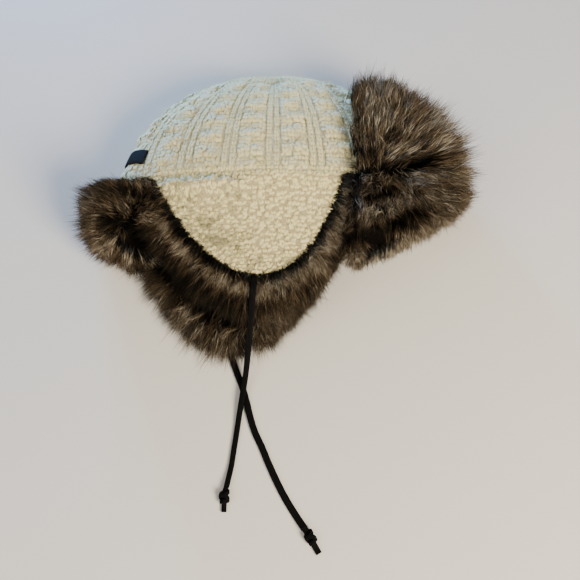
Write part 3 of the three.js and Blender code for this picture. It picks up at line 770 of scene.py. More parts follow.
def flap_point(flap, angle, inside, past, up):
    """A point on or beyond a flap: `inside` runs from its hinge to its edge, `past` goes on outwards."""
    hinge = np.array([flap["centre"], 0.0])
    flat = hinge + (flap_edge(flap, angle) - hinge) * np.asarray(inside)[..., None]
    flat = flat + flap_outward(angle) * np.asarray(past)[..., None]
    x, y = flat[..., 0], np.minimum(flat[..., 1], 0)
    return np.stack([x, y, flap["top"](x, y) + up], -1)


def swept_flap(flap, rows):
    """A closed body swept half round a flap through rows of (inside, past, up)."""
    angles = np.linspace(0, math.pi, FLAP_COLUMNS + 1)
    points = np.stack([flap_point(flap, angles, inside, past, up) for inside, past, up in rows])
    count = len(rows)
    triangles = [grid_triangles(count, FLAP_COLUMNS + 1)]
    for column in (0, FLAP_COLUMNS):
        for k in range(count // 2 - 1):
            ends = np.array([k, k + 1, count - 1 - k, count - 2 - k])
            a, b, c, d = ends * (FLAP_COLUMNS + 1) + column
            triangles.append(np.array([(a, b, c), (b, d, c)]))
    return points.reshape(-1, 3), np.concatenate(triangles)


def make_flap(node, flap, ground):
    thick = flap["thick"]
    inner = [k / 18 for k in range(18)]
    rows = [(k, 0, 0) for k in inner]
    rows += [(0.975, 0, -0.3), (0.99, 0, -0.9), (1, 0, -1.9), (1, 0, 1.2 - thick), (0.99, 0, 0.4 - thick),
             (0.975, 0, -thick)]
    rows += [(k, 0, -thick) for k in reversed(inner)]
    points, triangles = swept_flap(flap, rows)
    mesh_piece(node, "knit", keep_off_table(points, KNIT_FLOOR), triangles, ground)


def flap_cells(across, along, inset):
    """Places in a staggered grid over the right flap."""
    flap = FLAP_RIGHT
    xs = np.arange(flap["centre"] - flap["half"], flap["centre"] + flap["half"], across)
    ys = np.arange(0.6, -flap["depth"], -along)
    row, column = np.meshgrid(np.arange(len(ys)), np.arange(len(xs)), indexing="ij")
    x = xs[column] + (row % 2) * across / 2
    y = ys[row]
    reach = np.clip(-(y - inset) / flap["depth"], 0, 1)
    angle_in = np.arcsin(np.clip(reach ** (FLAP_TAPER / 2), 0, 1))
    edge_half = flap["half"] * np.cos(angle_in)
    middle = flap["centre"] + flap["drift"] * reach
    keep = (reach < 0.995) & (np.abs(x - middle) < edge_half - inset)
    return x[keep], y[keep]


# Marks in the pile and the knit. In the fur they give its dark and pale bands and add painted shade in
# its creases, partings and the joins between lobes; on the flap they are painted shade and light. A row is
# a line of the picture from x, y to x, y, its reach in pixels, the change of tone along it and how
# strongly it parts the hair.
# Painted shade and light on the right flap: darker at its left and lower middle, where its surface turns
# from the light, and lighter at its right.
FLAP_PAINTED_SHADING = (
    (190, 212, 214, 238, 22, -0.42, 0),
    (226, 240, 250, 260, 18, -0.2, 0),
    (285, 205, 325, 195, 20, 0.16, 0),
)
VISOR_MARKS = (
    (388, 166, 446, 157, 5, -0.8, 0.7),
    (368, 200, 398, 189, 3.5, -0.7, 0.3),
    (342, 241, 372, 234, 7.5, -1, 0),
    (372, 234, 424, 212, 7, -1, 0),
    (374, 210, 428, 196, 6, 0.5, 0),
    (336, 263, 385, 256, 8, 0.6, 0),
    (385, 256, 440, 231, 8, 0.5, 0),
    (404, 178, 462, 172, 6, 0.2, 0),
    (400, 118, 393, 146, 5, -0.35, 0.2),
    (384, 133, 370, 152, 6, -0.3, 0),
    (361, 92, 360, 165, 5, -0.2, 0),
    (384, 90, 394, 102, 14, 0.22, 0),
    (433, 124, 455, 138, 12, 0.25, 0),
    (413, 136, 428, 142, 7, -0.2, 0),
    (357, 174, 359, 207, 4, -0.4, 0),
)
NAPE_MARKS = (
    (108, 220, 132, 228, 10, -0.85, 0.3),
    (104, 246, 148, 254, 8, 0.32, 0),
    (80, 218, 88, 244, 8, 0.15, 0),
    (100, 187, 150, 195, 9, -0.5, 0),
    (80, 190, 92, 212, 7, 0.12, 0),
)
TRIM_MARKS = (
    (136, 238, 160, 268, 7, -1, 0.2),
    (160, 268, 194, 291, 8, -1.1, 0.2),
    (194, 291, 238, 312, 8, -1, 0.2),
    (156, 196, 178, 231, 6, -0.6, 0),
    (178, 231, 205, 259, 6, -0.6, 0),
    (205, 259, 244, 280, 5, -0.5, 0),
    (262, 281, 300, 262, 4, -0.35, 0),
    (300, 262, 334, 212, 4.5, -0.4, 0),
    (150, 290, 184, 324, 6.5, 0.3, 0),
    (184, 324, 222, 346, 6, 0.15, 0),
    (204, 318, 248, 326, 8, -0.3, 0),
    (258, 304, 300, 284, 5, -0.3, 0),
    (300, 284, 330, 240, 5, -0.25, 0),
    (262, 291, 300, 271, 4.5, 0.3, 0),
    (300, 271, 338, 226, 4.5, 0.35, 0),
    (257, 330, 290, 305, 7, 0.25, 0),
    (357, 174, 359, 207, 4, -0.95, 0),
)
# Darker stitches of the flap: x, y, size and how much darker.
STAINS = ((-36.0, -26.0, 3.2, 0.42), (-33.0, -13.0, 2.6, 0.4), (-31.0, -37.0, 2.2, 0.35))

# Lines of the picture past which hair is brushed back, from x, y to x, y, where it lies higher up
# the hat than the last value.
BELOW_ALL = -200.0
VISOR_LINES = (
    (486, 178, 462, 210, BELOW_ALL),
    (462, 210, 422, 243, BELOW_ALL),
    (422, 243, 343, 277, BELOW_ALL),
    (353, 165, 356, 90, 20.0),
)
NAPE_LINES = ((92, 182, 130, 185, BELOW_ALL), (130, 185, 158, 193, BELOW_ALL))
TRIM_LINES = ((329, 280, 302, 322, BELOW_ALL), (302, 322, 258, 362, BELOW_ALL))


def streaks(points, marks):
    """What the marks add to the tone at each point, and the way in which they part the hair there."""
    spots = in_picture(points)
    tone = np.zeros(len(points))
    parting = np.zeros_like(points)
    for x0, y0, x1, y1, reach, change, part in marks:
        start, line = np.array([x0, y0]), np.array([x1 - x0, y1 - y0])
        along = np.clip((spots - start) @ line / (line @ line), 0, 1)
        off = spots - start - along[:, None] * line
        near = hump(lengths(off), reach)
        tone += change * near
        away = unit(off[:, :1] * VIEW_RIGHT - off[:, 1:] * VIEW_UP)
        parting += away * (near * part)[:, None]
    return tone, parting


def make_flap_stitches(material):
    """Moss stitch: staggered round bumps, no two alike."""
    x, y = flap_cells(4.5, 3.6, 0.8)
    count = len(x)
    x = x + 1.0 * jitter(count)
    y = y + 1.0 * jitter(count)

    def on_flap(px, py, up):
        return np.stack([px, py, right_flap_top(px, np.minimum(py, 0)) + up], -1)

    middle = on_flap(x, y, 0)
    tone = 0.66 + 0.17 * jitter(count) + 0.10 * patches(middle, 24, 5)
    tone = tone + streaks(middle, FLAP_PAINTED_SHADING)[0]
    for spot_x, spot_y, size, depth in STAINS:
        tone = tone - depth * np.exp(-(((x - spot_x) / size) ** 2 + ((y - spot_y) / (size * 1.8)) ** 2))
    tone = np.clip(tone, 0.02, 1)
    tilt = 0.75 * jitter(count)
    reach = 2.6 + 0.35 * jitter(count)
    dx, dy = reach * np.cos(tilt), reach * np.sin(tilt)
    up = 0.25 * jitter(count)
    slope = np.stack([(right_flap_top(x + 1, y) - right_flap_top(x - 1, y)) / -2,
                      (right_flap_top(x, y + 1) - right_flap_top(x, y - 1)) / -2, np.ones(count)], -1)
    shapes = [seeds(on_flap(x - dx, y - dy, up), on_flap(x + dx, y + dy, up), slope,
                    3.9 + 0.9 * rng.random(count), 2.2 + 1.2 * rng.random(count), tone)]
    side = rng.choice((-1.0, 1.0), count)
    a = on_flap(x + 2.3 * side, y + 1.9, 0.1)
    b = on_flap(x + 1.1 * side, y - 1.9, 0.1)
    shapes.append(seeds(a, b, slope, np.full(count, 2.5), np.full(count, 1.4), tone))
    points, triangles, uv = joined(shapes)
    mesh_piece("ear_flap_right", "stitches", points, triangles, material, uv)


# Strands of hair

HAIR_POINTS = 5
HAIR_WIDTH = 0.66
FRAY = 0.07  # how far the hairs of a lock point apart
GUARDS = {"share": 0.06, "longer": 1.2, "darker": 0.3}


def ribbons(root, heading, bend, length, width, tone, last_band=1.0):
    """Tapered curved ribbons, one for each root. u of the UV map is the tone, v runs to `last_band`."""
    count = len(root)
    face = unit(np.cross(heading, jitter(count, 3)))
    points, bands = [], []
    for at in (0.0, 0.5):
        middle = root + heading * (length * at)[:, None] + bend * (length * at ** 2)[:, None]
        half = face * (width * (1 - 0.55 * at) / 2)[:, None]
        points += [middle - half, middle + half]
        bands += [at * last_band] * 2
    points.append(root + (heading + bend) * length[:, None])
    bands.append(last_band)
    one = np.array([(0, 1, 2), (1, 3, 2), (2, 3, 4)])
    triangles = one[None] + (np.arange(count) * HAIR_POINTS)[:, None, None]
    uv = np.stack([np.repeat(tone, HAIR_POINTS), np.tile(bands, count)], -1)
    return np.stack(points, 1).reshape(-1, 3), triangles.reshape(-1, 3), uv


def clumped(spots, normals, comb, length, tone, per_clump, spread, pinch=0.85, droop=0.12, last_band=1.0):
    """Hair in small locks, one rooted at each spot: its hairs start side by side and lean together."""
    count = len(spots) * per_clump
    pick = np.repeat(np.arange(len(spots)), per_clump)
    side_a = unit(np.cross(normals, comb + 1e-4))
    side_b = np.cross(unit(comb), side_a)
    shift = jitter(count, 2) * spread
    offset = side_a[pick] * shift[:, :1] + side_b[pick] * shift[:, 1:]
    along_offset = unit(comb)[pick] * (jitter(count, 1) * spread * 0.8)
    lock_way = unit(comb + 0.2 * jitter(*comb.shape))
    lock_size = length * (0.84 + 0.32 * rng.random(len(spots)))
    lock_tone = tone + 0.27 * jitter(len(spots))
    lock_bend = 0.10 * jitter(*comb.shape)
    size = lock_size[pick] * (0.76 + 0.3 * rng.random(count) ** 0.7)
    tip_pull = -offset * pinch / size[:, None]
    heading = unit(lock_way[pick] + FRAY * jitter(count, 3))
    bend = tip_pull + lock_bend[pick] + 0.7 * FRAY * jitter(count, 3)
    bend[:, 2] -= droop
    tones = lock_tone[pick] + 0.18 * jitter(count)
    guard = rng.random(count) < GUARDS["share"]
    size = np.where(guard, size * GUARDS["longer"], size)
    tones = np.clip(np.where(guard, tones - GUARDS["darker"], tones), 0, 1)
    width = HAIR_WIDTH * (0.75 + 0.6 * rng.random(count))
    return ribbons(spots[pick] + offset + along_offset, heading, bend, size, width, tones, last_band)


def outside_crown(points, margin):
    """Points pushed out of the crown, or down out of its opening, so that no hair runs inside the knit."""
    y = points[:, 1]
    scale = crown_scale(np.clip(y, 0, DEPTH))
    axis = crown_axis(scale)
    reach = np.where(points[:, 0] >= 0, FRONT, BACK) * scale + margin
    half = HALF * scale + margin
    level = (np.abs(points[:, 0]) / reach) ** ROUND + (np.abs(points[:, 2] - axis) / half) ** ROUND
    points[:, 1] = np.where((y > 0) & (level < 0.7), -0.3, y)
    push = np.where((y > 0) & (level < 1) & (level > 0.7), np.clip(level, 0.05, 1) ** (-1 / ROUND), 1)
    points[:, 0] *= push
    points[:, 2] = axis + (points[:, 2] - axis) * push
    return points


def finish_fur(node, part, shapes, material, limits):
    """Joins the hairs, lays the marks of the pile on them, keeps them out of the crown and off the
    table, and brushes back those that go too far."""
    points, triangles, uv = joined(shapes)
    uv[:, 0] = np.clip(uv[:, 0] + streaks(points, limits["marks"])[0], 0, 1)
    points = outside_crown(points, 1.2)
    floor = 0.4 + 0.8 * rng.random(len(points))
    roots = points[::HAIR_POINTS]
    ragged = np.repeat(2.2 * jitter(len(roots)) + 4.2 * patches(roots, 7, 37), HAIR_POINTS)
    for x0, y0, x1, y1, least in limits["lines"]:
        normal, limit = sight_plane(x0, y0, x1, y1)
        over = np.where(points[:, 1] > least, points @ normal - limit - ragged, 0)
        points -= np.clip(over, 0, None)[:, None] * normal * 0.6
    for axis, limit in limits["ceiling"]:
        over = points[:, axis] - limit
        points[:, axis] -= np.where(over > 0, over * 0.7, 0)
    mesh_piece(node, part, keep_off_table(points, floor), triangles, material, uv)


# Fur lobes: the visor and the nape. Stations run round the crown in degrees, with the reach above
# and below the rim and the bulge. Profiles run from the crown outwards: the share of the bulge, the
# gap to the crown and the share of the reach above or below the rim. Hair grows between `low` and
# `high`, in degrees round the crown and in shares of the way over the lobe. It is combed away from a
# centre at the height `rise` and lifts off the backing. Its length is what is added to the depth of
# the fur, the least and the most, and it wanders over patches of a size, with a seed. Hair is pushed
# back where it goes past a ceiling along an axis of the hat.

VISOR = {
    "stations": np.array([
        (-64, 36, -54, 17), (-38, 60, -28, 24), (-18, 78, -10, 29), (0, 94, -12, 35), (20, 109, -30, 38),
        (40, 114, -50, 30), (55, 104, -52, 19), (63, 30, -42, 11),
    ], float),
    "profile": np.array([
        (0, 3.4, 0), (0, 4, 0.45), (0.08, 5, 0.82), (0.28, 5, 1), (0.65, 3, 0.84), (0.9, 1, 0.52),
        (1, 0, 0.2), (0.86, 0, -0.35), (0.42, 0, -0.92), (0, 0, -1),
    ], float),
    "hairs": 56000, "low": (-63.0, 0.12), "high": (62.5, 0.99),
    "rise": 45, "lift": 0.55, "ahead": 9, "length": (13, 17, 33), "patch": (24, 7),
    "marks": VISOR_MARKS, "lines": VISOR_LINES, "ceiling": ((2, 107.0), (0, 201.0)),
}
NAPE = {
    "stations": np.array([
        (133, 0, -30, 11), (146, 1, -42, 19), (162, 2, -46, 26), (180, 4, -47, 28), (198, 6, -49, 27),
        (216, 8, -54, 21), (236, 6, -56, 12),
    ], float),
    "profile": np.array([
        (0, 2.6, 0), (0.12, 2.8, 1), (0.5, 0, 0.2), (0.86, 0, -0.2), (1, 0, -0.45), (0.74, 0, -0.85),
        (0.25, 0, -1), (0, 0, -0.9),
    ], float),
    "hairs": 40000, "low": (133.5, 0.1), "high": (235.5, 0.99),
    "rise": 42, "lift": 0.5, "ahead": 7, "length": (12, 15, 29), "patch": (20, 13),
    "marks": NAPE_MARKS, "lines": NAPE_LINES, "ceiling": ((1, 1.0),),
}
BACKING_FULL = 0.5  # how full the backing is, under hair that reaches to 1
PER_LOCK = 22
# The middles that the hair is combed away from, and the crease between the visor's two swirls.
UPPER_FAN = np.array([89.0, -2.0])
LOWER_FAN = np.array([106.0, 50.0])
NAPE_FAN = np.array([-133.0, -36.0])
CREASE = {"x": 103, "y": 5, "slope": 0.33}
# Where the visor's hair is longer: the place, its reach and the added length.
VISOR_FULL = (((142.0, 72.0), 26.0, 8.0), ((150.0, 14.0), 30.0, 4.0), ((112.0, 88.0), 22.0, 6.0))
# Locks combed over the place where the visor meets the trim of the right flap.
JUNCTION = {"from": np.array([76.0, -2.0, 84.0]), "to": np.array([70.0, -60.0, 48.0]), "scatter": 2.5,
            "way": np.array([0.1, -0.95, 0.3]), "locks": 340, "per": 15, "length": 19.0}


def lobe_point(lobe, around, way, full):
    """A point on a lobe of fur: `way` runs over its outside from the crown to its lower edge."""
    stations, profile = lobe["stations"], lobe["profile"]
    around_degrees = np.degrees(around)
    top, low, bulge = (np.interp(around_degrees, stations[:, 0], stations[:, k]) for k in (1, 2, 3))
    row = way * (len(profile) - 1)
    out, gap, rise = (np.interp(row, np.arange(len(profile)), profile[:, k]) for k in (0, 1, 2))
    lifted = np.where(rise >= 0, rise * top, -rise * low) * (0.78 + 0.22 * full)
    return round_crown(around, out * bulge * full + gap, lifted)


def backing_point(lobe, around, way):
    return lobe_point(lobe, around, way, BACKING_FULL)


def lobe_frame(lobe, around, way):
    """A place on a lobe's backing and its outward normal."""
    spot = backing_point(lobe, around, way)
    step = 0.01
    across = backing_point(lobe, around + step, way) - backing_point(lobe, around - step, way)
    over = backing_point(lobe, around, way + step) - backing_point(lobe, around, way - step)
    normal = unit(np.cross(over, across))
    away = spot - round_crown(around, 0.0, spot[:, 1] * 0.3)
    return spot, np.where((normal * away).sum(-1, keepdims=True) < 0, -normal, normal)


def lobe_roots(lobe):
    """Roots of locks, spread evenly over a lobe: the place, its normal and the fur's outside above it."""
    count = lobe["hairs"] // PER_LOCK
    low, high = (np.array([math.radians(around), way]) for around, way in (lobe["low"], lobe["high"]))
    around, way = (rng.random((count * 6, 2)) * (high - low) + low).T
    step = 0.004
    here = backing_point(lobe, around, way)
    area = lengths(np.cross(backing_point(lobe, around + step, way) - here,
                            backing_point(lobe, around, way + step) - here))
    chosen = rng.choice(len(around), count, replace=False, p=area / area.sum())
    around, way = around[chosen], way[chosen]
    return (*lobe_frame(lobe, around, way), lobe_point(lobe, around, way, 1.0))


def combed(lobe, centre, spot, normal, outer):
    """The way and the length of the hair of a lobe at its roots."""
    radial = np.concatenate([outer[:, :2] - centre, 0.3 * (outer[:, 2:] - lobe["rise"])], 1)
    comb = unit(unit(radial) + lobe["lift"] * normal)
    comb = unit(comb + streaks(outer + lobe["ahead"] * comb, lobe["marks"])[1])
    added, least, most = lobe["length"]
    size = np.clip(lengths(outer - spot) + added, least, most)
    return comb, size * (1 + 0.12 * patches(outer, *lobe["patch"]))


def make_lobe_backing(node, lobe, material):
    columns, rows = 48, 26
    first, last = lobe["stations"][0, 0] + 4, lobe["stations"][-1, 0] - 4
    around = np.radians(np.linspace(first, last, columns))
    way = np.linspace(0, 1, rows)
    points = np.concatenate([backing_point(lobe, np.full(rows, a), way) for a in around])
    starts = np.arange(columns) * rows
    triangles = [grid_triangles(columns, rows), strip(starts, starts + rows - 1)]
    for column, flip in ((0, True), (columns - 1, False)):
        ring = np.arange(column * rows, (column + 1) * rows)
        triangles.append(fan(len(points), ring, flip))
        points = np.concatenate([points, points[ring].mean(0)[None]])
    keep_off_table(points, PELT_FLOOR)
    mesh_piece(node, "pelt", points, np.concatenate(triangles), material)


def make_visor(fur, backing):
    make_lobe_backing("fur_visor", VISOR, backing)
    spot, normal, outer = lobe_roots(VISOR)
    crease = outer[:, 1] - CREASE["y"] - CREASE["slope"] * (outer[:, 0] - CREASE["x"])
    below = (1 - smooth(-7, 5, crease))[:, None]
    centre = UPPER_FAN * (1 - below) + LOWER_FAN * below
    comb, size = combed(VISOR, centre, spot, normal, outer)
    comb[:, 0] = np.where(outer[:, 1] > -24, np.maximum(comb[:, 0], -0.06), comb[:, 0])
    for full, reach, more in VISOR_FULL:
        size = size + more * hump(lengths(outer[:, :2] - full), reach)
    above = 1 - below[:, 0]
    shaded = 0.22 * (1 - smooth(6, 24, lengths(outer[:, :2] - UPPER_FAN))) * above
    tone = 0.56 - shaded + 0.12 * patches(outer, 20, 11) + 0.06 * above
    shape = clumped(spot, normal, comb, size, tone, PER_LOCK, 2.3)

    locks = JUNCTION["locks"]
    place_at = rng.random(locks)[:, None]
    root = JUNCTION["from"] * (1 - place_at) + JUNCTION["to"] * place_at
    root = root + jitter(*root.shape) * JUNCTION["scatter"]
    way = unit(JUNCTION["way"] + 0.25 * jitter(*root.shape))
    tones = 0.36 + 0.12 * jitter(locks)
    size = np.full(locks, JUNCTION["length"])
    bridge = clumped(root, np.tile(UP, (locks, 1)), way, size, tones, JUNCTION["per"], 1.6)
    finish_fur("fur_visor", "hair", [shape, bridge], fur, VISOR)


def make_nape(fur, backing):
    make_lobe_backing("fur_nape", NAPE, backing)
    spot, normal, outer = lobe_roots(NAPE)
    comb, size = combed(NAPE, NAPE_FAN, spot, normal, outer)
    comb[:, 0] = np.where(outer[:, 1] > -25, np.minimum(comb[:, 0], 0.1), comb[:, 0])
    tone = 0.48 + 0.14 * patches(outer, 18, 17)
    shape = clumped(spot, normal, comb, size, tone, PER_LOCK, 2.2)
    finish_fur("fur_nape", "hair", [shape], fur, NAPE)


# Fur round the ear flaps, parted where a lace comes out. A layer's hair is rooted between the two
# values of `past` the edge and of `up` from its top, rises and is as long as its two values say. Its
# tone starts at the top, changes over the layer and wanders: by how much, over what size, its seed.

TRIM_ROWS = {
    "right": ((0, 0, -5.9), (0.4, 0, -6.6), (0.75, 0, -6.6), (0.97, 0, -5.8), (1, 0.7, -3), (1, 4, -2),
              (1, 8, -6), (1, 5, -12), (0.97, 0, -12), (0.75, 0, -11), (0.4, 0, -10.5), (0, 0, -10.5)),
    "left": ((0, 0, 5.0), (0.4, 0, 5.0), (0.75, 0, 5.5), (0.97, 0, 5.5), (1, 5, 4), (1, 9, 0),
             (1, 6, -4), (1, 0.7, -4.5), (0.97, 0, 0.6), (0.75, 0, 0.6), (0.4, 0, 0.6), (0, 0, 0.6)),
}
UPPER = {"hairs": 26000, "per": 16, "past": (-0.6, 1.4), "up": (-0.8, -3.4), "rise": (0.42, 0.2),
         "length": (15, 22), "droop": 0.3, "last_band": 0.9, "tone": (0.88, -0.2, 0.16, 15, 19)}
SHORT = {"hairs": 7000, "per": 16, "past": (-1.0, 0.4), "up": (0.4, -1.2), "rise": (0.6, 0.4),
         "length": (12, 14), "droop": 0.25, "last_band": 0.36, "tone": (0.85, 0, 0.1, 12, 31)}
LOWER = {"hairs": 24000, "per": 18, "past": (2.0, 8.0), "up": (-4.0, -12.0), "rise": (0.05, -0.5),
         "length": (20, 31), "droop": 0.12, "last_band": 1.0, "tone": (0.19, -0.14, 0.26, 16, 23)}
EDGE = {"hairs": 26000, "per": 18, "past": (0.0, 9.0), "up": (4.0, -3.0), "rise": (0.28, 0.02),
        "length": (27, 35), "droop": 0.12, "last_band": 1.0, "tone": (0.40, 0, 0.30, 15, 29)}
# Hair over the lining side of a flap: the side that it grows from, and the least share from the hinge.
UNDER = {"hairs": 9000, "side": -1.0, "up": -10.0, "length": 15.0, "tone": 0.35, "least": 0.2}
FACE = {"hairs": 10000, "side": 1.0, "up": 4.5, "length": 20.0, "tone": 0.2, "least": 0.15}
PER_FACE_LOCK = 14


TRIM = {"marks": TRIM_MARKS, "lines": TRIM_LINES, "ceiling": ()}


def between(pair, share):
    return pair[0] + (pair[1] - pair[0]) * share


def edge_fur(flap, kind):
    """Locks rooted along a flap's edge, in layers from its top to its underside, longest at its tip."""
    clumps = kind["hairs"] // kind["per"]
    angle = np.radians(1 + 178 * rng.random(clumps * 3))
    edge_step = lengths(flap_edge(flap, angle + 0.01) - flap_edge(flap, angle - 0.01))
    angle = angle[rng.choice(len(angle), clumps, replace=False, p=edge_step / edge_step.sum())]
    layer = rng.random(clumps)
    past = between(kind["past"], rng.random(clumps))
    root = flap_point(flap, angle, np.ones(clumps), past, between(kind["up"], layer))
    way = flap_outward(angle)
    heading = np.stack([way[:, 0], way[:, 1], between(kind["rise"], layer)], -1)
    part = np.clip((root[:, 0] - flap["lace_x"]) / 5.0, -3, 3)
    heading[:, 0] += 0.45 * np.sign(part) * hump(part, 1)
    size = between(kind["length"], np.sin(angle) ** 2)
    heading = unit(heading)
    heading = unit(heading + streaks(root + heading * size[:, None] * 0.7, TRIM_MARKS)[1])
    start, change, depth, patch, seed = kind["tone"]
    tone = start + change * layer + depth * patches(root, patch, seed)
    return clumped(root, np.tile(UP, (clumps, 1)), heading, size, tone, kind["per"], 1.8, 0.75,
                   kind["droop"], kind["last_band"])


def face_fur(flap, kind):
    """Locks over the lining side of a flap, combed outwards."""
    clumps = kind["hairs"] // PER_FACE_LOCK
    angle = np.radians(4 + 172 * rng.random(clumps))
    inside = np.sqrt(between((kind["least"] ** 2, 1), rng.random(clumps)))
    root = flap_point(flap, angle, inside, np.zeros(clumps), kind["up"])
    way = flap_outward(angle)
    heading = unit(np.stack([*way.T, kind["side"] * (0.35 + 0.3 * rng.random(clumps))], -1))
    size, tone = np.full(clumps, kind["length"]), np.full(clumps, kind["tone"])
    return clumped(root, np.tile(UP * kind["side"], (clumps, 1)), heading, size, tone, PER_FACE_LOCK, 2.0)


def make_trim(side, flap, fur, backing, layers):
    """The fur of one flap: its backing, then each layer of hair as (part, shapes)."""
    node = f"fur_trim_{side}"
    points, triangles = swept_flap(flap, TRIM_ROWS[side])
    mesh_piece(node, "pelt", keep_off_table(points, TRIM_FLOOR), triangles, backing)
    grown = [(part, [grow(flap, kind) for grow, kind in kinds]) for part, kinds in layers]
    for part, shapes in grown:
        finish_fur(node, part, shapes, fur, TRIM)


# Loose fibres that soften the knit

FUZZ_TONE = 0.95
CROWN_FUZZ = {"fibres": 40000, "width": 0.18}
FLAP_FUZZ = {"apart": 1.0, "inset": 0.4, "width": 0.16}


def fuzz_piece(node, root, heading, bend, reach, width, material):
    count = len(root)
    points, triangles, uv = ribbons(root, heading, bend, reach, np.full(count, width),
                                    np.full(count, FUZZ_TONE))
    uv[:, 1] = 1.0
    mesh_piece(node, "fuzz", keep_off_table(points, KNIT_FLOOR), triangles, material, uv)


def make_fuzz(material):
    count = CROWN_FUZZ["fibres"]
    wale = rng.random(count) * WALES
    course = rng.random(count) * (COURSES - 1)
    keep = rng.random(count) < np.clip(crown_scale(height_at(course)), 0.15, 1)
    keep &= ~under_label(around_at(wale), height_at(course))
    wale, course = wale[keep], course[keep]
    shade = label_shade(around_at(wale), height_at(course))
    reach = (2.2 + 3.0 * rng.random(len(wale))) * (1 - 0.65 * shade)
    root = crown_surface(wale, course, 0.7)
    normal = unit(crown_surface(wale, course, 1.7) - root)
    above = root[:, 2] > 2
    root, normal, reach = root[above], normal[above], reach[above]
    heading = unit(normal + 0.9 * jitter(*root.shape))
    facing = (heading * normal).sum(-1, keepdims=True)
    heading = np.where(facing < 0.05, unit(heading + normal * 1.2), heading)
    fuzz_piece("crown", root, heading, 0.5 * jitter(*root.shape), reach, CROWN_FUZZ["width"], material)


def make_flap_fuzz(material):
    x, y = flap_cells(FLAP_FUZZ["apart"], FLAP_FUZZ["apart"], FLAP_FUZZ["inset"])
    count = len(x)
    root = np.stack([x, y, right_flap_top(x, y) + 0.5], -1)
    root += 0.5 * jitter(count, 3) * [1, 1, 0.3]
    heading = unit(jitter(count, 3) * [1, 1, 0.5] + [0, 0, 0.5])
    bend = 0.5 * jitter(count, 3)
    reach = 1.8 + 2.2 * rng.random(count)
    fuzz_piece("ear_flap_right", root, heading, bend, reach, FLAP_FUZZ["width"], material)


# The label: a thin patch with round corners, folded round the back of the crown

def make_label(material):
    columns, rows, corner, half = (LABEL[key] for key in ("columns", "rows", "corner", "half"))
    grid = np.stack(np.meshgrid(np.linspace(-1, 1, columns), np.linspace(-1, 1, rows)), -1)
    rim = ((1 - np.abs(grid)) * half).min(-1)
    flat, straight = np.abs(grid) * half, half - corner
    beyond = np.clip(flat - straight, 0, None)
    off = np.hypot(beyond[..., 0], beyond[..., 1])[..., None]
    shrink = np.where(off > corner, corner / np.maximum(off, 1e-6), 1)
    flat = np.where(flat > straight, straight + (flat - straight) * shrink, flat)
    uu, vv = np.moveaxis(np.sign(grid) * flat / half, -1, 0)
    around = np.radians(LABEL["around"] + LABEL["reach"] * uu)
    y = (LABEL["low"] + LABEL["high"]) / 2 + vv * (LABEL["high"] - LABEL["low"]) / 2 - label_drop(around)
    thick = LABEL["thick"] * np.sqrt(np.clip(rim / 1.2, 0, 1)) - 0.25 * hump(rim - 2.2, 0.5)
    front = round_crown(around, LABEL["seat"] + thick, y)
    back = round_crown(around, LABEL["seat"] + 0 * y, y)
    count = rows * columns
    border = np.concatenate([np.arange(columns), np.arange(columns - 1, count, columns),
                             np.arange(count - 1, count - columns - 1, -1),
                             np.arange(count - columns, -1, -columns), [0]])
    triangles = np.concatenate([grid_triangles(rows, columns),
                                grid_triangles(rows, columns, start=count)[:, ::-1],
                                strip(border, border + count)])
    points = np.concatenate([front.reshape(-1, 3), back.reshape(-1, 3)])
    mesh_piece("label", "patch", points, triangles, material)


# Floor and light

# Each light: its name, place, aim, size, power and colour.
LIGHTS = (
    ("key", (0.85, -1.05, 1.0), (0, 0, 0), 0.7, 41, (1.0, 0.92, 0.76)),
    ("window", (-0.7, 1.5, 0.18), (0, 0.1, 0.05), 0.6, 92, (0.18, 0.44, 1.0)),
    ("fill", (-1.1, -0.8, 1.2), (0, 0, 0), 1.2, 9, (1.0, 0.96, 0.88)),
)
SKY = {"Color": (0.84, 0.85, 0.87, 1), "Strength": 0.345}
FLOOR_HALF = 4.0


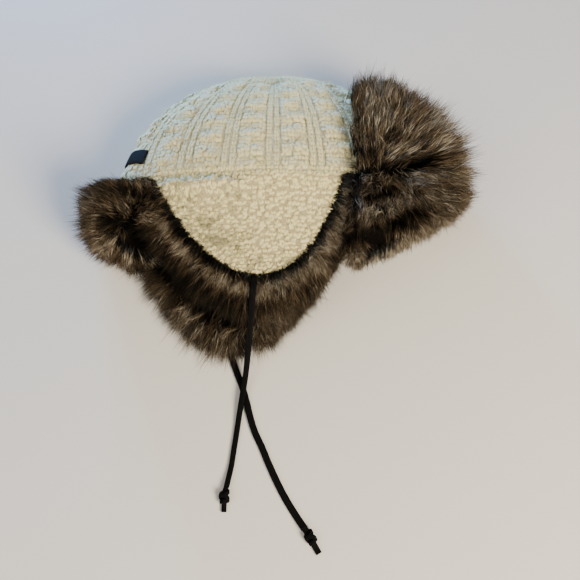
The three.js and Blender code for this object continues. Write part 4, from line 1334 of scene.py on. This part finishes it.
def make_stage():
    mesh = bpy.data.meshes.new("floor")
    corners = [(x * FLOOR_HALF, y * FLOOR_HALF, 0) for x, y in ((-1, -1), (1, -1), (1, 1), (-1, 1))]
    mesh.from_pydata(corners, [], [(0, 1, 2, 3)])
    settings = {"Base Color": (0.87, 0.80, 0.71, 1), "Roughness": 0.55}
    mesh.materials.append(new_material("pale_floor", settings)[0])
    floor = linked("floor", mesh)


def make_lighting():
    world = bpy.data.worlds.new("studio")
    bpy.context.scene.world = world
    world.use_nodes = True
    preset(world.node_tree.nodes["Background"], SKY)
    for name, place_at, aim, size, power, colour in LIGHTS:
        data = bpy.data.lights.new(name, "AREA")
        data.shape = "DISK"
        data.size = size
        data.energy = power
        data.color = colour
        light = linked(name, data)
        light.location = place_at
        light.rotation_euler = (Vector(aim) - Vector(place_at)).to_track_quat("-Z", "Y").to_euler()


make_camera()

lace_leather = leather_material("lace_leather", (0.003, 0.0028, 0.0028), 0.62, 900)
label_leather = leather_material("label_leather", (0.007, 0.0055, 0.004), 0.7, 1200)
knots = {side: make_knot(side, lace_leather) for side in LACES}
for side, knot in knots.items():
    make_lace(side, lace_leather)

yarn = yarn_material()
# The grounds are darker than the yarn: painted shade in the gaps between the stitches, deepest on the
# right flap.
ground = knit_ground_material("knit_ground_painted_shade", (0.55, 0.465, 0.28), (0.74, 0.64, 0.41))
valley_shade_ground = knit_ground_material("flap_valleys_painted_shade", (0.34, 0.28, 0.155), (0.54, 0.45, 0.265))
lining = knit_ground_material("plain_inside", (0.40, 0.35, 0.27), (0.55, 0.49, 0.38))
fur = fur_material()
backing = grained_material("fur_backing", BACKING, {"Scale": 900}, {"Distance": 0.001},
                           {"Roughness": 0.95, "Specular IOR Level": 0.0})

make_crown_ground(ground, lining)
make_crown_stitches(yarn)
make_flap("ear_flap_right", FLAP_RIGHT, valley_shade_ground)
make_flap_stitches(yarn)
make_flap("ear_flap_left", FLAP_LEFT, ground)
make_fuzz(yarn)
make_flap_fuzz(yarn)
make_label(label_leather)
make_visor(fur, backing)
make_nape(fur, backing)
make_trim("right", FLAP_RIGHT, fur, backing, (
    ("hair", ((edge_fur, UPPER), (edge_fur, SHORT))),
    ("under_hair", ((edge_fur, LOWER), (face_fur, UNDER))),
))
make_trim("left", FLAP_LEFT, fur, backing, (("hair", ((edge_fur, EDGE), (face_fur, FACE))),))

make_stage()
make_lighting()
